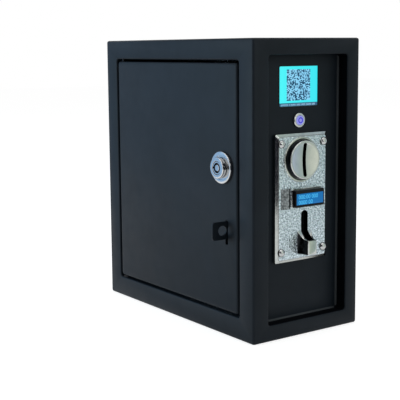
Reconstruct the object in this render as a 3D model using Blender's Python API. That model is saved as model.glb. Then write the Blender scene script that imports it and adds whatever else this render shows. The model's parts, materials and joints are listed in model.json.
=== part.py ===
"""Coin-operated charging kiosk: a steel wall box with a coin panel and a locked side door.

Metres, +Z up, origin at the middle of the base. The coin face looks along -Y,
the door is on the -X side and the sockets are on the rear, +Y.
"""
import math

import bmesh
import bpy
from mathutils import Vector

# Cabinet
BOX_X = 0.142
BOX_Y = 0.280
BOX_Z = 0.305
SHEET = 0.0016
BEND_R = 0.0025
LIP_R = 0.0014
SEAT = 0.0003
RUN_CLEAR = 0.0003

# Recess of the coin face
FRAME_MARGIN = 0.0165
FRAME_NEAR_MARGIN = 0.0197
RECESS_DEPTH = 0.015
RECESS_CORNER_R = 0.003
PANEL_LAP = 0.008
PANEL_T = 0.002
PANEL_SCREW_R = 0.0018
PANEL_SCREW_HEAD_R = 0.003
PANEL_SCREW_HEAD_T = 0.0022
PANEL_SCREW_END = 0.040

# Side door
DOOR_BORDER = 0.023
DOOR_BORDER_TOP = 0.0212
DOOR_GAP = 0.003
DOOR_CORNER_R = 0.003
DOOR_EDGE_R = 0.0022
DOOR_FLANGE = 0.010
STOP_WIDTH = 0.012
JAMB_LIP = 0.0006
PIVOT_IN = 0.005
PIVOT_BEHIND = 0.005
PIN_R = 0.002
PIN_REACH = 0.0035
PIN_HEAD_R = 0.0029
PIN_HEAD_T = 0.0015
WASHER_R = 0.0042

# Tubular lock
LOCK_FROM_FRONT = 0.0495
LOCK_Z = 0.1752
LOCK_FLANGE_R = 0.0165
LOCK_FLANGE_T = 0.003
LOCK_NOSE_R = 0.011
LOCK_NOSE_RISE = 0.008
LOCK_THREAD_R = 0.0095
LOCK_NUT_AF = 0.026
LOCK_NUT_T = 0.004
PLUG_R = 0.0068
PLUG_RECESS = 0.0006
KEYWAY_R = 0.00535
KEYPOST_R = 0.00325
KEYWAY_DEPTH = 0.006
KEY_NOTCH = 0.0022
CAM_T = 0.002
CAM_REACH = 0.024
CAM_HALF = 0.006
CAM_CLEAR = 0.0006
CAM_SCREW_R = 0.002
CAM_SCREW_HEAD_R = 0.004
CAM_SCREW_HEAD_T = 0.0025
CAM_SCREW_GRIP = 0.006

# Padlock staple
STAPLE_FROM_FRONT = 0.0442
STAPLE_T = 0.002
STAPLE_LOW = 0.1020
STAPLE_H = 0.0185
STAPLE_REACH = 0.018
STAPLE_CORNER_R = 0.003
STAPLE_HOLE_R = 0.0052
STAPLE_HOLE_OUT = 0.0057
STAPLE_BASE_T = 0.0018
SLOT_SWING = 0.0017
SLOT_SIDE = 0.0005
SLOT_ABOVE = 0.0008
SLOT_BELOW = 0.0058

# Display
DISPLAY_X = 0.0008
DISPLAY_BELOW_TOP = 0.0487
DISPLAY_W = 0.0525
DISPLAY_H = 0.041
DISPLAY_RECESS = 0.001
GLASS_T = 0.0013
MODULE_W = 0.060
MODULE_H = 0.048
MODULE_T = 0.004
BOARD_W = 0.084
BOARD_H = 0.050
BOARD_T = 0.0016
STUD_R = 0.0016
STUD_INSET = 0.0045
STUD_PAST = 0.0022

# Push button
BUTTON_X = 0.0002
BUTTON_BELOW_DISPLAY = 0.0346
BUTTON_BEZEL_R = 0.0075
BUTTON_BEZEL_T = 0.002
BUTTON_BARREL_R = 0.006
BUTTON_BARREL_L = 0.019
BUTTON_CAP_R = 0.0046
BUTTON_CAP_RISE = 0.001
BUTTON_CAP_L = 0.009
BUTTON_TRAVEL = 0.0025
BUTTON_NUT_AF = 0.0145
BUTTON_NUT_T = 0.003
SWITCH_OUT = 0.003
SWITCH_GAP = 0.0015
SWITCH_TAG = 0.0016

# Coin acceptor; heights on the plate are from its middle
PLATE_X = 0.0006
PLATE_UNDER_BEZEL = 0.0055
PLATE_W = 0.064
PLATE_H = 0.127
PLATE_T = 0.006
PLATE_CORNER_R = 0.0025
PLATE_EDGE_R = 0.0008
PLATE_FLANK = 0.0026
PLATE_FOOT = 0.0036
SCREW_PITCH_X = 0.057
SCREW_PITCH_Z = 0.1115
SCREW_RAISE = 0.0007
SCREW_R = 0.002
SCREW_HEAD_R = 0.0044
SCREW_HEAD_T = 0.003
SCREW_PAST = 0.005
DISC_X = -0.0008
DISC_UP = 0.0393
DISC_R = 0.02125
DISC_FACE_R = 0.0197
DISC_RISE = 0.006
DISC_T = 0.010
DISC_DISH = 0.0022
DISC_TRAVEL = 0.003
RING_R = 0.0235
RING_RISE = 0.0008
COIN_SLOT_W = 0.0034
COIN_SLOT_H = 0.035
LCD_LEFT = -0.0136
LCD_RIGHT = 0.0255
LCD_DOWN = 0.0094
LCD_UP = 0.0085
LCD_RISE = 0.006
LCD_CORNER_R = 0.0018
SCREEN_BORDER_X = 0.0012
SCREEN_BORDER_LOW = 0.0024
SCREEN_BORDER_HIGH = 0.0036
SCREEN_T = 0.001
WEDGE_LEFT = -0.0284
WEDGE_RIGHT = -0.0195
WEDGE_DOWN = 0.0104
WEDGE_UP = 0.0105
WEDGE_RISE = 0.003
RETURN_X = 0.0034
RETURN_W = 0.0092
RETURN_TOP_DOWN = 0.0137
RETURN_FLOOR_DOWN = 0.0545
SPOUT_WALL = 0.0018
SPOUT_LOW_DOWN = 0.0587
SPOUT_LIP_DOWN = 0.0436
SPOUT_ROOT_DOWN = 0.0351
SPOUT_REACH = 0.013
SPOUT_FLARE = 0.0032
SPOUT_FRONT_WALL = 0.0018

# Coin mechanism behind the panel
MECH_W = 0.050
MECH_H = 0.1172
MECH_DEPTH = 0.060
MECH_OPENING_CLEAR = 0.0005
CHANNEL_W = 0.0038
MECH_WALL = 0.006
ENTRY_RUN = 0.022
ENTRY_FALL = 0.005
EXIT_FALL = 0.004
DIVIDER_H = 0.026
DIVIDER_W = 0.010
RETURN_SILL = 0.004
RETURN_ROOF = 0.006
RETURN_RUN = 0.018
DISC_POCKET_CLEAR = 0.001
CHUTE_INNER_X = 0.009
EXIT_Y = 0.026
CHUTE_CLEAR = 0.001
CHUTE_WALL = 0.0014
CHUTE_L = 0.0195

# Cash box
CASH_X = 0.108
CASH_Y = 0.100
CASH_UNDER_CHUTE = 0.0043
CASH_WALL = 0.0014
CASH_FRONT_GAP = 0.0355

# Round four-slot socket
SOCKET_X = 0.0
SOCKET_Z = 0.219
SOCKET_R = 0.027
SOCKET_FLANGE_R = 0.032
SOCKET_FLANGE_T = 0.003
SOCKET_DEPTH = 0.036
SOCKET_CLEAR = 0.0003
SLOT_DEPTH = 0.020
HOT_OUT = 0.0173
HOT_W = 0.0048
HOT_H = 0.0147
GROUND_UP = 0.0160
GROUND_W = 0.0086
GROUND_H = 0.0100
NEUTRAL_DOWN = 0.0118
NEUTRAL_W = 0.0104
NEUTRAL_BAR = 0.0050
NEUTRAL_LEG_H = 0.0078
CENTRE_HOLE_R = 0.004
CONTACT_L = 0.007
CONTACT_CLEAR = 0.0004
CLAMP_T = 0.002
CLAMP_WIDE = 0.004

# Network jack
JACK_X = 0.0
JACK_Z = 0.130
JACK_W = 0.0164
JACK_H = 0.0144
JACK_DEPTH = 0.022
JACK_WALL = 0.0012
JACK_FLANGE = 0.003
JACK_FLANGE_T = 0.0012
JACK_SOCKET_W = 0.0118
JACK_SOCKET_H = 0.0068
JACK_SOCKET_DEPTH = 0.014
JACK_LATCH_W = 0.006
JACK_LATCH_H = 0.0028
JACK_RECESS = 0.0006

# Cable gland
GLAND_X = 0.0
GLAND_Z = 0.052
GLAND_BORE_R = 0.0052
GLAND_THREAD_R = 0.008
GLAND_THREAD_L = 0.010
GLAND_HEX_AF = 0.024
GLAND_HEX_T = 0.005
GLAND_CAP_R = 0.011
GLAND_CAP_TIP_R = 0.0075
GLAND_CAP_L = 0.011
GLAND_NUT_T = 0.004

# Electrics on the far wall
TRAY_T = 0.0016
TRAY_OFF = 0.004
TRAY_Y = (-0.055, 0.128)
TRAY_LOW = 0.072
TRAY_BELOW_TOP = 0.015
TRAY_FOOT_R = 0.004
TRAY_FOOT_INSET = 0.010
SUPPLY_SIZE = (0.028, 0.096, 0.046)
SUPPLY_Y = 0.076
SUPPLY_DOWN = 0.005
CONTACTOR_SIZE = (0.058, 0.046, 0.074)
CONTACTOR_AT = (0.088, 0.128)
CONTACTOR_STEP = 0.014
CONTROLLER_SIZE = (0.0016, 0.070, 0.100)
CONTROLLER_Y = -0.014
CONTROLLER_DOWN = 0.026
CONTROLLER_POST_L = 0.008
CONTROLLER_POST_R = 0.0026
CONTROLLER_POST_INSET = 0.006
CHIP_SIZE = (0.003, 0.016, 0.016)
TERMINAL_SIZE = (0.022, 0.064, 0.018)
TERMINAL_AT = (0.030, 0.098)
TERMINAL_WAYS = 6
TERMINAL_NOTCH = 0.006

# Wiring
LEAD_R = 0.0019
CABLE_FROM_BOARD_EDGE = 0.014
DISPLAY_CABLE_UP = 0.041
COIN_CABLE_DOWN = 0.029
LEAD_STEPS = 4
LEAD_SIDES = 2

# Facets
ROUND_SIDES = 32
SMALL_SIDES = 16
CORNER_STEPS = 3
EDGE_STEPS = 3
SMOOTH_ANGLE = math.radians(35)

# Derived planes
FRONT = -BOX_Y / 2
REAR = BOX_Y / 2
DOOR_SIDE = -BOX_X / 2
WALL_SIDE = BOX_X / 2
PANEL_FRONT = FRONT + RECESS_DEPTH
RECESS_X = (FRAME_NEAR_MARGIN - FRAME_MARGIN) / 2
RECESS_W = BOX_X - FRAME_NEAR_MARGIN - FRAME_MARGIN
PANEL_BACK = PANEL_FRONT + PANEL_T
PLATE_BACK = PANEL_FRONT - SEAT
PLATE_FRONT = PLATE_BACK - PLATE_T
STOP_PLANE = DOOR_SIDE + DOOR_FLANGE + SEAT
DOOR_Y = BOX_Y - 2 * DOOR_BORDER
DOOR_Z = BOX_Z - DOOR_BORDER - DOOR_BORDER_TOP
DOOR_MID = (0.0, DOOR_BORDER + DOOR_Z / 2)
OPENING_TOP = BOX_Z - DOOR_BORDER_TOP
DOOR_INNER = DOOR_SIDE + SHEET
PIVOT_X = DOOR_SIDE + PIVOT_BEHIND
PIVOT_Y = DOOR_Y / 2 - DOOR_GAP - PIVOT_IN
LOCK_Y = FRONT + LOCK_FROM_FRONT
LOCK_AT = (LOCK_Y, LOCK_Z)
STAPLE_Y = FRONT + STAPLE_FROM_FRONT
CAM_X = STOP_PLANE + SHEET + CAM_CLEAR
TRAY_FACE = WALL_SIDE - SHEET - TRAY_OFF - TRAY_T
TRAY_HIGH = BOX_Z - TRAY_BELOW_TOP
SUPPLY_AT = (SUPPLY_Y, TRAY_HIGH - SUPPLY_DOWN - SUPPLY_SIZE[2] / 2)
CONTROLLER_AT = (CONTROLLER_Y, TRAY_HIGH - CONTROLLER_DOWN - CONTROLLER_SIZE[2] / 2)
REAR_INNER = REAR - SHEET
DISPLAY_Z = BOX_Z - DISPLAY_BELOW_TOP
BUTTON_Z = DISPLAY_Z - BUTTON_BELOW_DISPLAY
PLATE_Z = BUTTON_Z - BUTTON_BEZEL_R - PLATE_UNDER_BEZEL - PLATE_FLANK - PLATE_H / 2
DISC_Z = PLATE_Z + DISC_UP
LCD_LOW = PLATE_Z - LCD_DOWN
LCD_HIGH = PLATE_Z + LCD_UP
RETURN_TOP = PLATE_Z - RETURN_TOP_DOWN
RETURN_FLOOR = PLATE_Z - RETURN_FLOOR_DOWN
SPOUT_LOW = PLATE_Z - SPOUT_LOW_DOWN
SPOUT_LIP = PLATE_Z - SPOUT_LIP_DOWN
SPOUT_ROOT = PLATE_Z - SPOUT_ROOT_DOWN
MECH_FRONT = PLATE_BACK + SEAT
MECH_LOW = PLATE_Z - MECH_H / 2
MECH_BACK = MECH_FRONT + MECH_DEPTH
EXIT_BACK = MECH_BACK - MECH_WALL
EXIT_FRONT = EXIT_BACK - EXIT_Y

# Paint and finishes: colour, roughness, metallic
BLACK_PAINT = ("black_paint", (0.022, 0.030, 0.040), 0.42, 0.0)
CAST_ZINC = ("cast_zinc", (0.62, 0.63, 0.62), 0.30, 1.0)
POLISHED = ("polished_metal", (0.75, 0.75, 0.74), 0.12, 1.0)
STEEL = ("zinc_plated_steel", (0.55, 0.56, 0.58), 0.35, 1.0)
BRASS = ("brass", (0.70, 0.50, 0.20), 0.30, 1.0)
BLACK_PLASTIC = ("black_plastic", (0.018, 0.018, 0.020), 0.45, 0.0)
GREY_PLASTIC = ("grey_plastic", (0.07, 0.07, 0.072), 0.5, 0.0)
PALE_PLASTIC = ("pale_plastic", (0.42, 0.43, 0.42), 0.5, 0.0)
CYAN_GLASS = ("cyan_display", (0.10, 0.62, 0.80), 0.15, 0.0)
BLUE_GLASS = ("blue_display", (0.01, 0.20, 0.70), 0.15, 0.0)
LIT_LENS = ("lit_lens", (0.45, 0.38, 0.95), 0.2, 0.0)
GREEN_BOARD = ("green_board", (0.02, 0.16, 0.06), 0.45, 0.0)
RED_LEAD = ("red_lead", (0.45, 0.02, 0.02), 0.45, 0.0)
BLACK_LEAD = ("black_lead", (0.015, 0.015, 0.015), 0.45, 0.0)
WHITE_LEAD = ("white_lead", (0.62, 0.62, 0.60), 0.45, 0.0)
GREEN_LEAD = ("green_lead", (0.02, 0.22, 0.06), 0.45, 0.0)


# Scene and materials

def clear_scene():
    for item in list(bpy.data.objects):
        bpy.data.objects.remove(item, do_unlink=True)


def finish(look):
    name, colour, roughness, metallic = look
    made = bpy.data.materials.get(name)
    if made is None:
        made = bpy.data.materials.new(name)
        made.use_nodes = True
        shader = made.node_tree.nodes["Principled BSDF"]
        shader.inputs["Base Color"].default_value = (*colour, 1.0)
        shader.inputs["Roughness"].default_value = roughness
        shader.inputs["Metallic"].default_value = metallic
    return made


def joint_empty(name, at, parent=None):
    empty = bpy.data.objects.new(name, None)
    bpy.context.collection.objects.link(empty)
    empty.location = Vector(at)
    if parent is not None:
        empty.location -= parent.location
        empty.parent = parent
    return empty


def world_origin(item):
    place = Vector()
    while item is not None:
        place += item.location
        item = item.parent
    return place


def solid(name, bm, look, joint=None):
    """One named sub-part from a bmesh in world coordinates, hung on its joint's empty."""
    bmesh.ops.translate(bm, verts=bm.verts, vec=-world_origin(joint))
    mesh = bpy.data.meshes.new(name)
    bm.to_mesh(mesh)
    bm.free()
    mesh.shade_smooth()
    mesh.set_sharp_from_angle(angle=SMOOTH_ANGLE)
    made = bpy.data.objects.new(name, mesh)
    made.data.materials.append(finish(look))
    made.parent = joint
    bpy.context.collection.objects.link(made)
    return made


def combine(target, bm, label, operation):
    tool = solid(target.name + "_" + label, bm, BLACK_PAINT)
    tool.data.materials.clear()
    tool.hide_render = True
    tool.display_type = 'WIRE'
    step = target.modifiers.new(label, 'BOOLEAN')
    step.operation = operation
    step.object = tool


def cut(target, bm, label):
    combine(target, bm, label, 'DIFFERENCE')


def join(target, bm, label):
    combine(target, bm, label, 'UNION')


# Outlines in a plane

def rectangle(low_a, low_b, high_a, high_b):
    return [(low_a, low_b), (high_a, low_b), (high_a, high_b), (low_a, high_b)]


def rounded(mid, width, height, radius, steps=CORNER_STEPS):
    points = []
    corners = ((1, 1), (-1, 1), (-1, -1), (1, -1))
    for quarter, (side_a, side_b) in enumerate(corners):
        for step in range(steps + 1):
            angle = (quarter + step / steps) * math.pi / 2
            points.append((mid[0] + side_a * (width / 2 - radius) + radius * math.cos(angle),
                           mid[1] + side_b * (height / 2 - radius) + radius * math.sin(angle)))
    return points


def circle(mid, radius, sides=ROUND_SIDES):
    turn = 2 * math.pi / sides
    return [(mid[0] + radius * math.cos(turn * i), mid[1] + radius * math.sin(turn * i))
            for i in range(sides)]


def hexagon(mid, across_flats, sides=ROUND_SIDES):
    """A hexagon with as many points as a circle, so the two can be lofted."""
    points = []
    for i in range(sides):
        angle = 2 * math.pi * i / sides
        from_flat = (angle + math.pi / 6) % (math.pi / 3) - math.pi / 6
        reach = across_flats / 2 / math.cos(from_flat)
        points.append((mid[0] + reach * math.cos(angle), mid[1] + reach * math.sin(angle)))
    return points


# Solids from outlines

def place(axis, a, b, t):
    if axis == 'X':
        return Vector((t, a, b))
    if axis == 'Y':
        return Vector((a, t, b))
    return Vector((a, b, t))


def loft(axis, sections, ring=False):
    """Skin (distance, outline) sections along an axis; a ring closes on its first section."""
    bm = bmesh.new()
    loops = []
    for t, outline in sections:
        loops.append([bm.verts.new(place(axis, a, b, t)) for a, b in outline])
    pairs = list(zip(loops, loops[1:]))
    if ring:
        pairs.append((loops[-1], loops[0]))
    else:
        bm.faces.new(loops[0])
        bm.faces.new(loops[-1])
    for lower, upper in pairs:
        for i in range(len(lower)):
            j = (i + 1) % len(lower)
            bm.faces.new((lower[i], lower[j], upper[j], upper[i]))
    bmesh.ops.recalc_face_normals(bm, faces=bm.faces)
    return bm


def prism(axis, outline, low, high):
    return loft(axis, [(low, outline), (high, outline)])


def block(low, high):
    return prism('Z', rectangle(low[0], low[1], high[0], high[1]), low[2], high[2])


def bevelled_block(low, high, radius):
    bm = block(low, high)
    bmesh.ops.bevel(bm, geom=bm.edges[:], offset=radius, offset_type='OFFSET',
                    segments=EDGE_STEPS, profile=0.5, affect='EDGES')
    return bm


def turned(axis, mid, profile, sides=ROUND_SIDES):
    return loft(axis, [(t, circle(mid, r, sides)) for t, r in profile])


def turned_ring(axis, mid, profile, sides=ROUND_SIDES):
    return loft(axis, [(t, circle(mid, r, sides)) for t, r in profile], ring=True)


def flared_sections(outline_of, face, inward, radius):
    """An opening's mouth, wider at the face by a rounded lip."""
    sections = [(face - inward * radius, outline_of(radius))]
    for step in range(EDGE_STEPS + 1):
        angle = step / EDGE_STEPS * math.pi / 2
        sections.append((face + inward * radius * (1 - math.cos(angle)),
                         outline_of(radius * (1 - math.sin(angle)))))
    return sections


def eased_sections(outline_of, face, inward, radius):
    """A plate's front, drawn in at the face by a rounded edge."""
    sections = []
    for step in range(EDGE_STEPS + 1):
        angle = step / EDGE_STEPS * math.pi / 2
        sections.append((face + inward * radius * (1 - math.cos(angle)),
                         outline_of(-radius * (1 - math.sin(angle)))))
    return sections


def dome_head(axis, mid, seat, out, radius, height, shank_r, shank_end, sides=SMALL_SIDES):
    """A round-headed screw: head on the out side of its seat, shank on the other."""
    profile = [(shank_end, shank_r), (seat, shank_r), (seat, radius)]
    for step in range(1, EDGE_STEPS + 1):
        angle = step / (EDGE_STEPS + 1) * math.pi / 2
        profile.append((seat + out * height * math.sin(angle), radius * math.cos(angle)))
    return turned(axis, mid, profile, sides)


# Cabinet

def recess_outline(grow):
    return rounded((RECESS_X, BOX_Z / 2), RECESS_W + 2 * grow,
                   BOX_Z - 2 * FRAME_MARGIN + 2 * grow, RECESS_CORNER_R + max(grow, 0.0))


def door_opening_outline(grow):
    return rounded(DOOR_MID, DOOR_Y + 2 * grow, DOOR_Z + 2 * grow, DOOR_CORNER_R + max(grow, 0.0))


def door_outline(grow):
    return door_opening_outline(grow - DOOR_GAP)


def stop_outline():
    low_y = -DOOR_Y / 2 + STOP_WIDTH
    high_y = DOOR_Y / 2 - JAMB_LIP
    return rounded(((low_y + high_y) / 2, DOOR_MID[1]), high_y - low_y,
                   DOOR_Z - 2 * JAMB_LIP, DOOR_CORNER_R)


def cabinet_shell():
    shell = solid("cabinet_shell", bevelled_block((DOOR_SIDE, FRONT, 0.0), (WALL_SIDE, REAR, BOX_Z), BEND_R),
                  BLACK_PAINT)
    cut(shell, block((DOOR_SIDE + SHEET, FRONT + SHEET, SHEET),
                     (WALL_SIDE - SHEET, REAR + SHEET, BOX_Z - SHEET)), "cavity")
    lip_back = PANEL_FRONT - SEAT
    join(shell, prism('Y', recess_outline(SHEET), FRONT + SHEET / 2, lip_back - SHEET / 2), "recess_walls")
    join(shell, prism('Y', recess_outline(PANEL_LAP), lip_back - SHEET, lip_back), "recess_lip")
    cut(shell, loft('Y', flared_sections(recess_outline, FRONT, 1, LIP_R)
                    + [(PANEL_FRONT, recess_outline(0.0))]), "recess_opening")
    join(shell, prism('X', door_opening_outline(SHEET), DOOR_SIDE + SHEET / 2, STOP_PLANE + SHEET), "jamb")
    cut(shell, loft('X', flared_sections(door_opening_outline, DOOR_SIDE, 1, LIP_R)
                    + [(STOP_PLANE, door_opening_outline(0.0)),
                       (STOP_PLANE, stop_outline()),
                       (STOP_PLANE + 2 * SHEET, stop_outline())]), "door_opening")
    for label, low, high in (("pin_hole_top", OPENING_TOP - SHEET, OPENING_TOP + 2 * SHEET),
                             ("pin_hole_bottom", DOOR_BORDER - 2 * SHEET, DOOR_BORDER + SHEET)):
        cut(shell, prism('Z', circle((PIVOT_X, PIVOT_Y), PIN_R + RUN_CLEAR, SMALL_SIDES), low, high), label)
    for label, x, z in panel_screw_places():
        cut(shell, prism('Y', circle((x, z), PANEL_SCREW_R + RUN_CLEAR, SMALL_SIDES),
                         lip_back - 2 * SHEET, PANEL_FRONT), "lip_hole_" + label)


def rear_panel():
    """The plate that closes the rear between the shell's walls and carries the sockets."""
    inset = SHEET + SEAT
    panel = solid("rear_panel", block((DOOR_SIDE + inset, REAR_INNER, inset),
                                      (WALL_SIDE - inset, REAR, BOX_Z - inset)), BLACK_PAINT)
    through = (REAR_INNER - SHEET, REAR + SHEET)
    cut(panel, prism('Y', circle((SOCKET_X, SOCKET_Z), SOCKET_R + SOCKET_CLEAR), *through), "socket_hole")
    jack_hole = rounded((JACK_X, JACK_Z), JACK_W + 2 * SEAT, JACK_H + 2 * SEAT, BEND_R / 2)
    cut(panel, prism('Y', jack_hole, *through), "jack_hole")
    cut(panel, prism('Y', circle((GLAND_X, GLAND_Z), GLAND_THREAD_R + SEAT), *through), "gland_hole")


# Recessed panel and its screws

def panel_screw_places():
    near = RECESS_X - (RECESS_W + PANEL_LAP) / 2
    far = RECESS_X + (RECESS_W + PANEL_LAP) / 2
    return [("1", near, PANEL_SCREW_END), ("2", far, PANEL_SCREW_END),
            ("3", near, BOX_Z - PANEL_SCREW_END), ("4", far, BOX_Z - PANEL_SCREW_END)]


def plate_screw_places():
    mid_z = PLATE_Z + SCREW_RAISE
    return [(str(i + 1), PLATE_X + side_x * SCREW_PITCH_X / 2, mid_z + side_z * SCREW_PITCH_Z / 2)
            for i, (side_x, side_z) in enumerate(((-1, 1), (1, 1), (-1, -1), (1, -1)))]


def board_stud_places():
    out = BOARD_W / 2 - STUD_INSET
    up = BOARD_H / 2 - STUD_INSET
    return [(i, DISPLAY_X + side_x * out, DISPLAY_Z + side_z * up)
            for i, (side_x, side_z) in enumerate(((-1, 1), (1, 1), (-1, -1), (1, -1)))]


def board_front():
    return PANEL_FRONT + DISPLAY_RECESS + GLASS_T + SEAT + MODULE_T + SEAT


def control_panel():
    inset = SEAT
    panel = solid("control_panel", prism('Y', recess_outline(PANEL_LAP - inset), PANEL_FRONT, PANEL_BACK),
                  BLACK_PAINT)
    over = PANEL_T
    through = (PANEL_FRONT - over, PANEL_BACK + over)
    for i, x, z in board_stud_places():
        join(panel, prism('Y', circle((x, z), STUD_R, SMALL_SIDES), PANEL_FRONT + PANEL_T / 2,
                          board_front() + BOARD_T + STUD_PAST), "stud_%d" % i)
    cut(panel, prism('Y', rounded((DISPLAY_X, DISPLAY_Z), DISPLAY_W, DISPLAY_H, PLATE_EDGE_R), *through),
        "display_window")
    cut(panel, prism('Y', circle((BUTTON_X, BUTTON_Z), BUTTON_BARREL_R + SEAT), *through), "button_hole")
    cut(panel, prism('Y', rounded((PLATE_X, PLATE_Z), MECH_W + 2 * MECH_OPENING_CLEAR,
                                  MECH_H + 2 * MECH_OPENING_CLEAR, PLATE_EDGE_R), *through), "coin_opening")
    cut(panel, prism('Y', disc_pocket_outline(), *through), "disc_clearance")
    for label, x, z in plate_screw_places():
        cut(panel, prism('Y', circle((x, z), SCREW_R + RUN_CLEAR, SMALL_SIDES), *through),
            "plate_hole_" + label)
    for label, x, z in panel_screw_places():
        cut(panel, prism('Y', circle((x, z), PANEL_SCREW_R + RUN_CLEAR, SMALL_SIDES), *through),
            "screw_hole_" + label)
        solid("panel_screw_" + label,
              dome_head('Y', (x, z), PANEL_BACK + SEAT, 1, PANEL_SCREW_HEAD_R, PANEL_SCREW_HEAD_T,
                        PANEL_SCREW_R, PANEL_FRONT - SEAT - SHEET), STEEL)


# Display

def display():
    glass_front = PANEL_FRONT + DISPLAY_RECESS
    module_front = glass_front + GLASS_T + SEAT
    mid = (DISPLAY_X, DISPLAY_Z)
    glass_edge = rounded(mid, DISPLAY_W - 2 * SEAT, DISPLAY_H - 2 * SEAT, PLATE_EDGE_R)
    solid("display_glass", prism('Y', glass_edge, glass_front, glass_front + GLASS_T), CYAN_GLASS)
    module_edge = rounded(mid, MODULE_W, MODULE_H, PLATE_EDGE_R)
    solid("display_module", prism('Y', module_edge, module_front, module_front + MODULE_T), STEEL)
    board_edge = rounded(mid, BOARD_W, BOARD_H, PLATE_CORNER_R)
    board = solid("display_board", prism('Y', board_edge, board_front(), board_front() + BOARD_T),
                  GREEN_BOARD)
    for i, x, z in board_stud_places():
        cut(board, prism('Y', circle((x, z), STUD_R + RUN_CLEAR, SMALL_SIDES), board_front() - BOARD_T,
                         board_front() + 2 * BOARD_T), "stud_hole_%d" % i)


# Push button

def push_button():
    mid = (BUTTON_X, BUTTON_Z)
    bore = BUTTON_CAP_R + RUN_CLEAR
    seat = PANEL_FRONT - SEAT
    face = seat - BUTTON_BEZEL_T
    barrel_end = seat + BUTTON_BARREL_L
    ease = BUTTON_BEZEL_T / 2
    solid("button_bezel", turned_ring('Y', mid, [
        (face, bore + ease), (face, BUTTON_BEZEL_R - ease), (face + ease, BUTTON_BEZEL_R),
        (seat, BUTTON_BEZEL_R), (seat, BUTTON_BARREL_R), (barrel_end, BUTTON_BARREL_R),
        (barrel_end, bore), (face + ease, bore)]), POLISHED)
    nut_front = PANEL_BACK + SEAT
    nut_hole = circle(mid, BUTTON_BARREL_R + SEAT)
    nut_edge = hexagon(mid, BUTTON_NUT_AF)
    nut_back = nut_front + BUTTON_NUT_T
    solid("button_nut", loft('Y', [(nut_front, nut_edge), (nut_back, nut_edge), (nut_back, nut_hole),
                                   (nut_front, nut_hole)], ring=True), STEEL)
    cap_face = face - BUTTON_CAP_RISE
    joint = joint_empty("button_axis", (BUTTON_X, cap_face, BUTTON_Z))
    crown = BUTTON_CAP_RISE / 2
    solid("button_cap", turned('Y', mid, [(cap_face, BUTTON_CAP_R - 2 * crown),
                                          (cap_face + crown, BUTTON_CAP_R - crown / 2),
                                          (cap_face + 2 * crown, BUTTON_CAP_R),
                                          (cap_face + BUTTON_CAP_L, BUTTON_CAP_R)]), LIT_LENS, joint)
    switch_front = cap_face + BUTTON_CAP_L + BUTTON_TRAVEL + SWITCH_GAP
    switch_end = barrel_end + SWITCH_OUT
    switch = solid("button_switch", turned('Y', mid, [(switch_front, BUTTON_CAP_R),
                                                      (switch_end, BUTTON_CAP_R)]), BLACK_PLASTIC)
    tag = SWITCH_TAG
    for side in (-1, 1):
        x = BUTTON_X + side * BUTTON_CAP_R / 2
        join(switch, block((x - tag / 2, switch_end - tag, BUTTON_Z - tag),
                           (x + tag / 2, switch_end + 2 * tag, BUTTON_Z + tag)), "tag_%d" % (side + 1))


# Coin plate and what is set into it

def plate_outline(grow):
    return rounded((PLATE_X, PLATE_Z), PLATE_W + 2 * grow, PLATE_H + 2 * grow, PLATE_CORNER_R)


def lcd_outline(grow):
    mid = ((LCD_LEFT + LCD_RIGHT) / 2, (LCD_LOW + LCD_HIGH) / 2)
    return rounded(mid, LCD_RIGHT - LCD_LEFT + 2 * grow, LCD_HIGH - LCD_LOW + 2 * grow, LCD_CORNER_R)


def return_outline(shrink=0.0):
    mid = (RETURN_X, (RETURN_FLOOR + RETURN_TOP) / 2)
    width = RETURN_W - 2 * shrink
    return rounded(mid, width, RETURN_TOP - RETURN_FLOOR, width / 2 - SEAT, 2 * CORNER_STEPS)


def spout_sections():
    """The coin cup from the plate out: its sides draw in and its rim sweeps down to the front lip."""
    steps = 2 * CORNER_STEPS
    sections = []
    for step in range(steps + 1):
        left = 1 - step / steps
        half = RETURN_W / 2 + SPOUT_WALL + SPOUT_FLARE * left ** 2
        rim = SPOUT_LIP + (SPOUT_ROOT - SPOUT_LIP) * left ** 2
        sections.append((PLATE_FRONT - SPOUT_REACH * (1 - left),
                         rectangle(RETURN_X - half, SPOUT_LOW, RETURN_X + half, rim)))
    return [(PLATE_FRONT + PLATE_T / 2, sections[0][1])] + sections


def disc_pocket_outline():
    return circle((DISC_X, DISC_Z), DISC_R + DISC_POCKET_CLEAR)


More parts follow.
